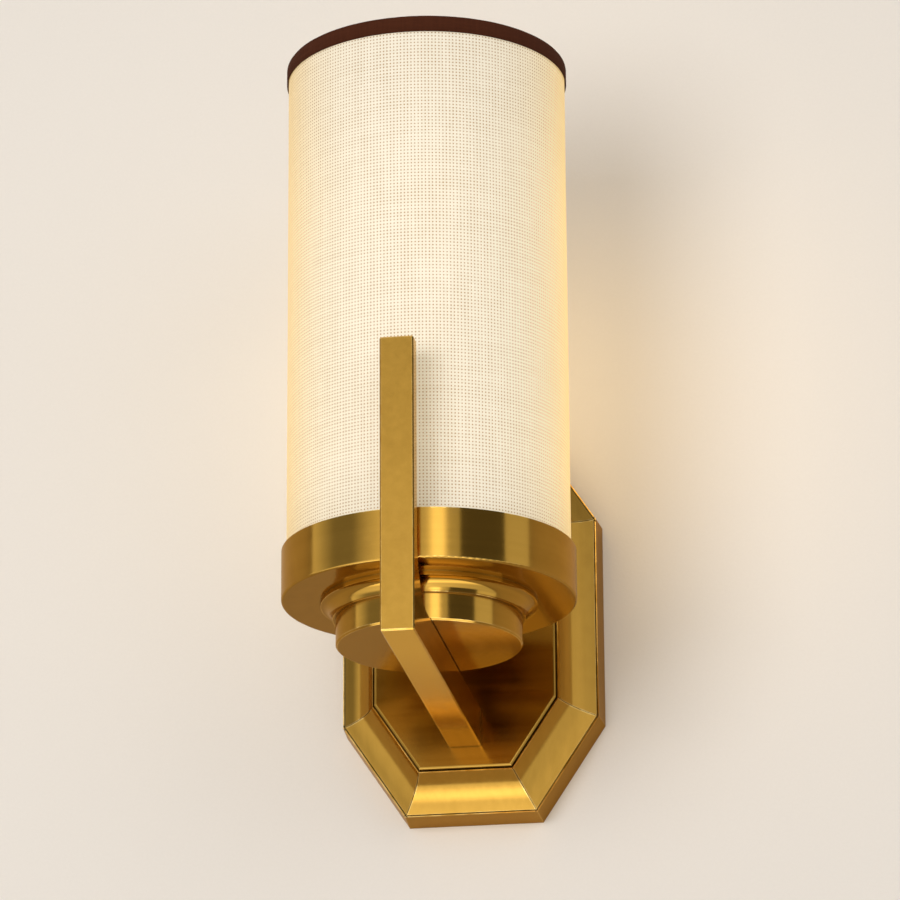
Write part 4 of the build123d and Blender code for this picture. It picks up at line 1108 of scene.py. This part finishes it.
def level_ramp(factor, stops):
    """A ramp holds nothing above 1, so it holds shares of the brightest level."""
    node = add_node(world_tree, "ShaderNodeValToRGB", {"Fac": factor})
    elements = node.color_ramp.elements
    while len(elements) < len(stops):
        elements.new(0.5)
    for element, (position, level) in zip(elements, stops):
        share = level / brightest
        element.position = position
        element.color = (share, share, share, 1)
    return multiply(world_tree, node.outputs[0], brightest)


sky_place = add_node(world_tree, "ShaderNodeTexCoord").outputs["Generated"]
direction = vector_parts(world_tree, sky_place)
towards_room = multiply(world_tree, direction["Y"], -1.0)
azimuth = calculate(world_tree, "ARCTAN2", direction["X"], towards_room)
azimuth_share = map_range(world_tree, azimuth, -pi, pi)
window_stops = [((degrees + 180) / 360, level) for degrees, level in WINDOW_STOPS]
window_level = level_ramp(azimuth_share, window_stops)

# %% Windows above and a floor below, which is darker at the sides
FLOOR_STOPS = [(0.2, 1.3), (0.38, 1.5), (0.72, 1.3), (0.86, 2.5), (0.93, 2.3), (1.0, 1.0)]
upwards = direction["Z"]
window_top = map_range(world_tree, upwards, 0.275, 0.36, 1.35, 0.65)
room_level = multiply(world_tree, window_level, window_top)
floor_ramp = level_ramp(multiply(world_tree, upwards, -1.0), FLOOR_STOPS)
aside = calculate(world_tree, "ABSOLUTE", calculate(world_tree, "ADD", direction["X"], 0.15))
darker_aside = map_range(world_tree, aside, 0.2, 1.0, 1.35, 0.68)
floor_level = multiply(world_tree, floor_ramp, darker_aside)
towards_floor = map_range(world_tree, upwards, 0.0, -0.3, smooth=True)
studio_level = mix_numbers(world_tree, towards_floor, room_level, floor_level)

# %% What each kind of ray sees
backdrop_colour = (0.90, 0.85, 0.78, 1.0)
even_colour = (1.0, 0.985, 0.965, 1.0)
rays = add_node(world_tree, "ShaderNodeLightPath").outputs
seen_level = mix_numbers(world_tree, rays["Is Glossy Ray"], 1.0, studio_level)
backdrop_inputs = {"Color": backdrop_colour, "Strength": seen_level}
backdrop = add_node(world_tree, "ShaderNodeBackground", backdrop_inputs).outputs[0]
even_inputs = {"Color": even_colour, "Strength": 0.5}
even_light = add_node(world_tree, "ShaderNodeBackground", even_inputs).outputs[0]
glass_or_metal = calculate(world_tree, "MAXIMUM", rays["Is Transmission Ray"], rays["Is Glossy Ray"])
sees_backdrop = calculate(world_tree, "MAXIMUM", rays["Is Camera Ray"], glass_or_metal)
world_seen = mix_shaders(world_tree, sees_backdrop, even_light, backdrop)
add_node(world_tree, "ShaderNodeOutputWorld", {"Surface": world_seen})

# %% Colours as they are written
bpy.context.scene.view_settings.view_transform = "Standard"

# %% [markdown]
# ## The last step
# The view layer is brought up to date.

# %% Update
bpy.context.view_layer.update()
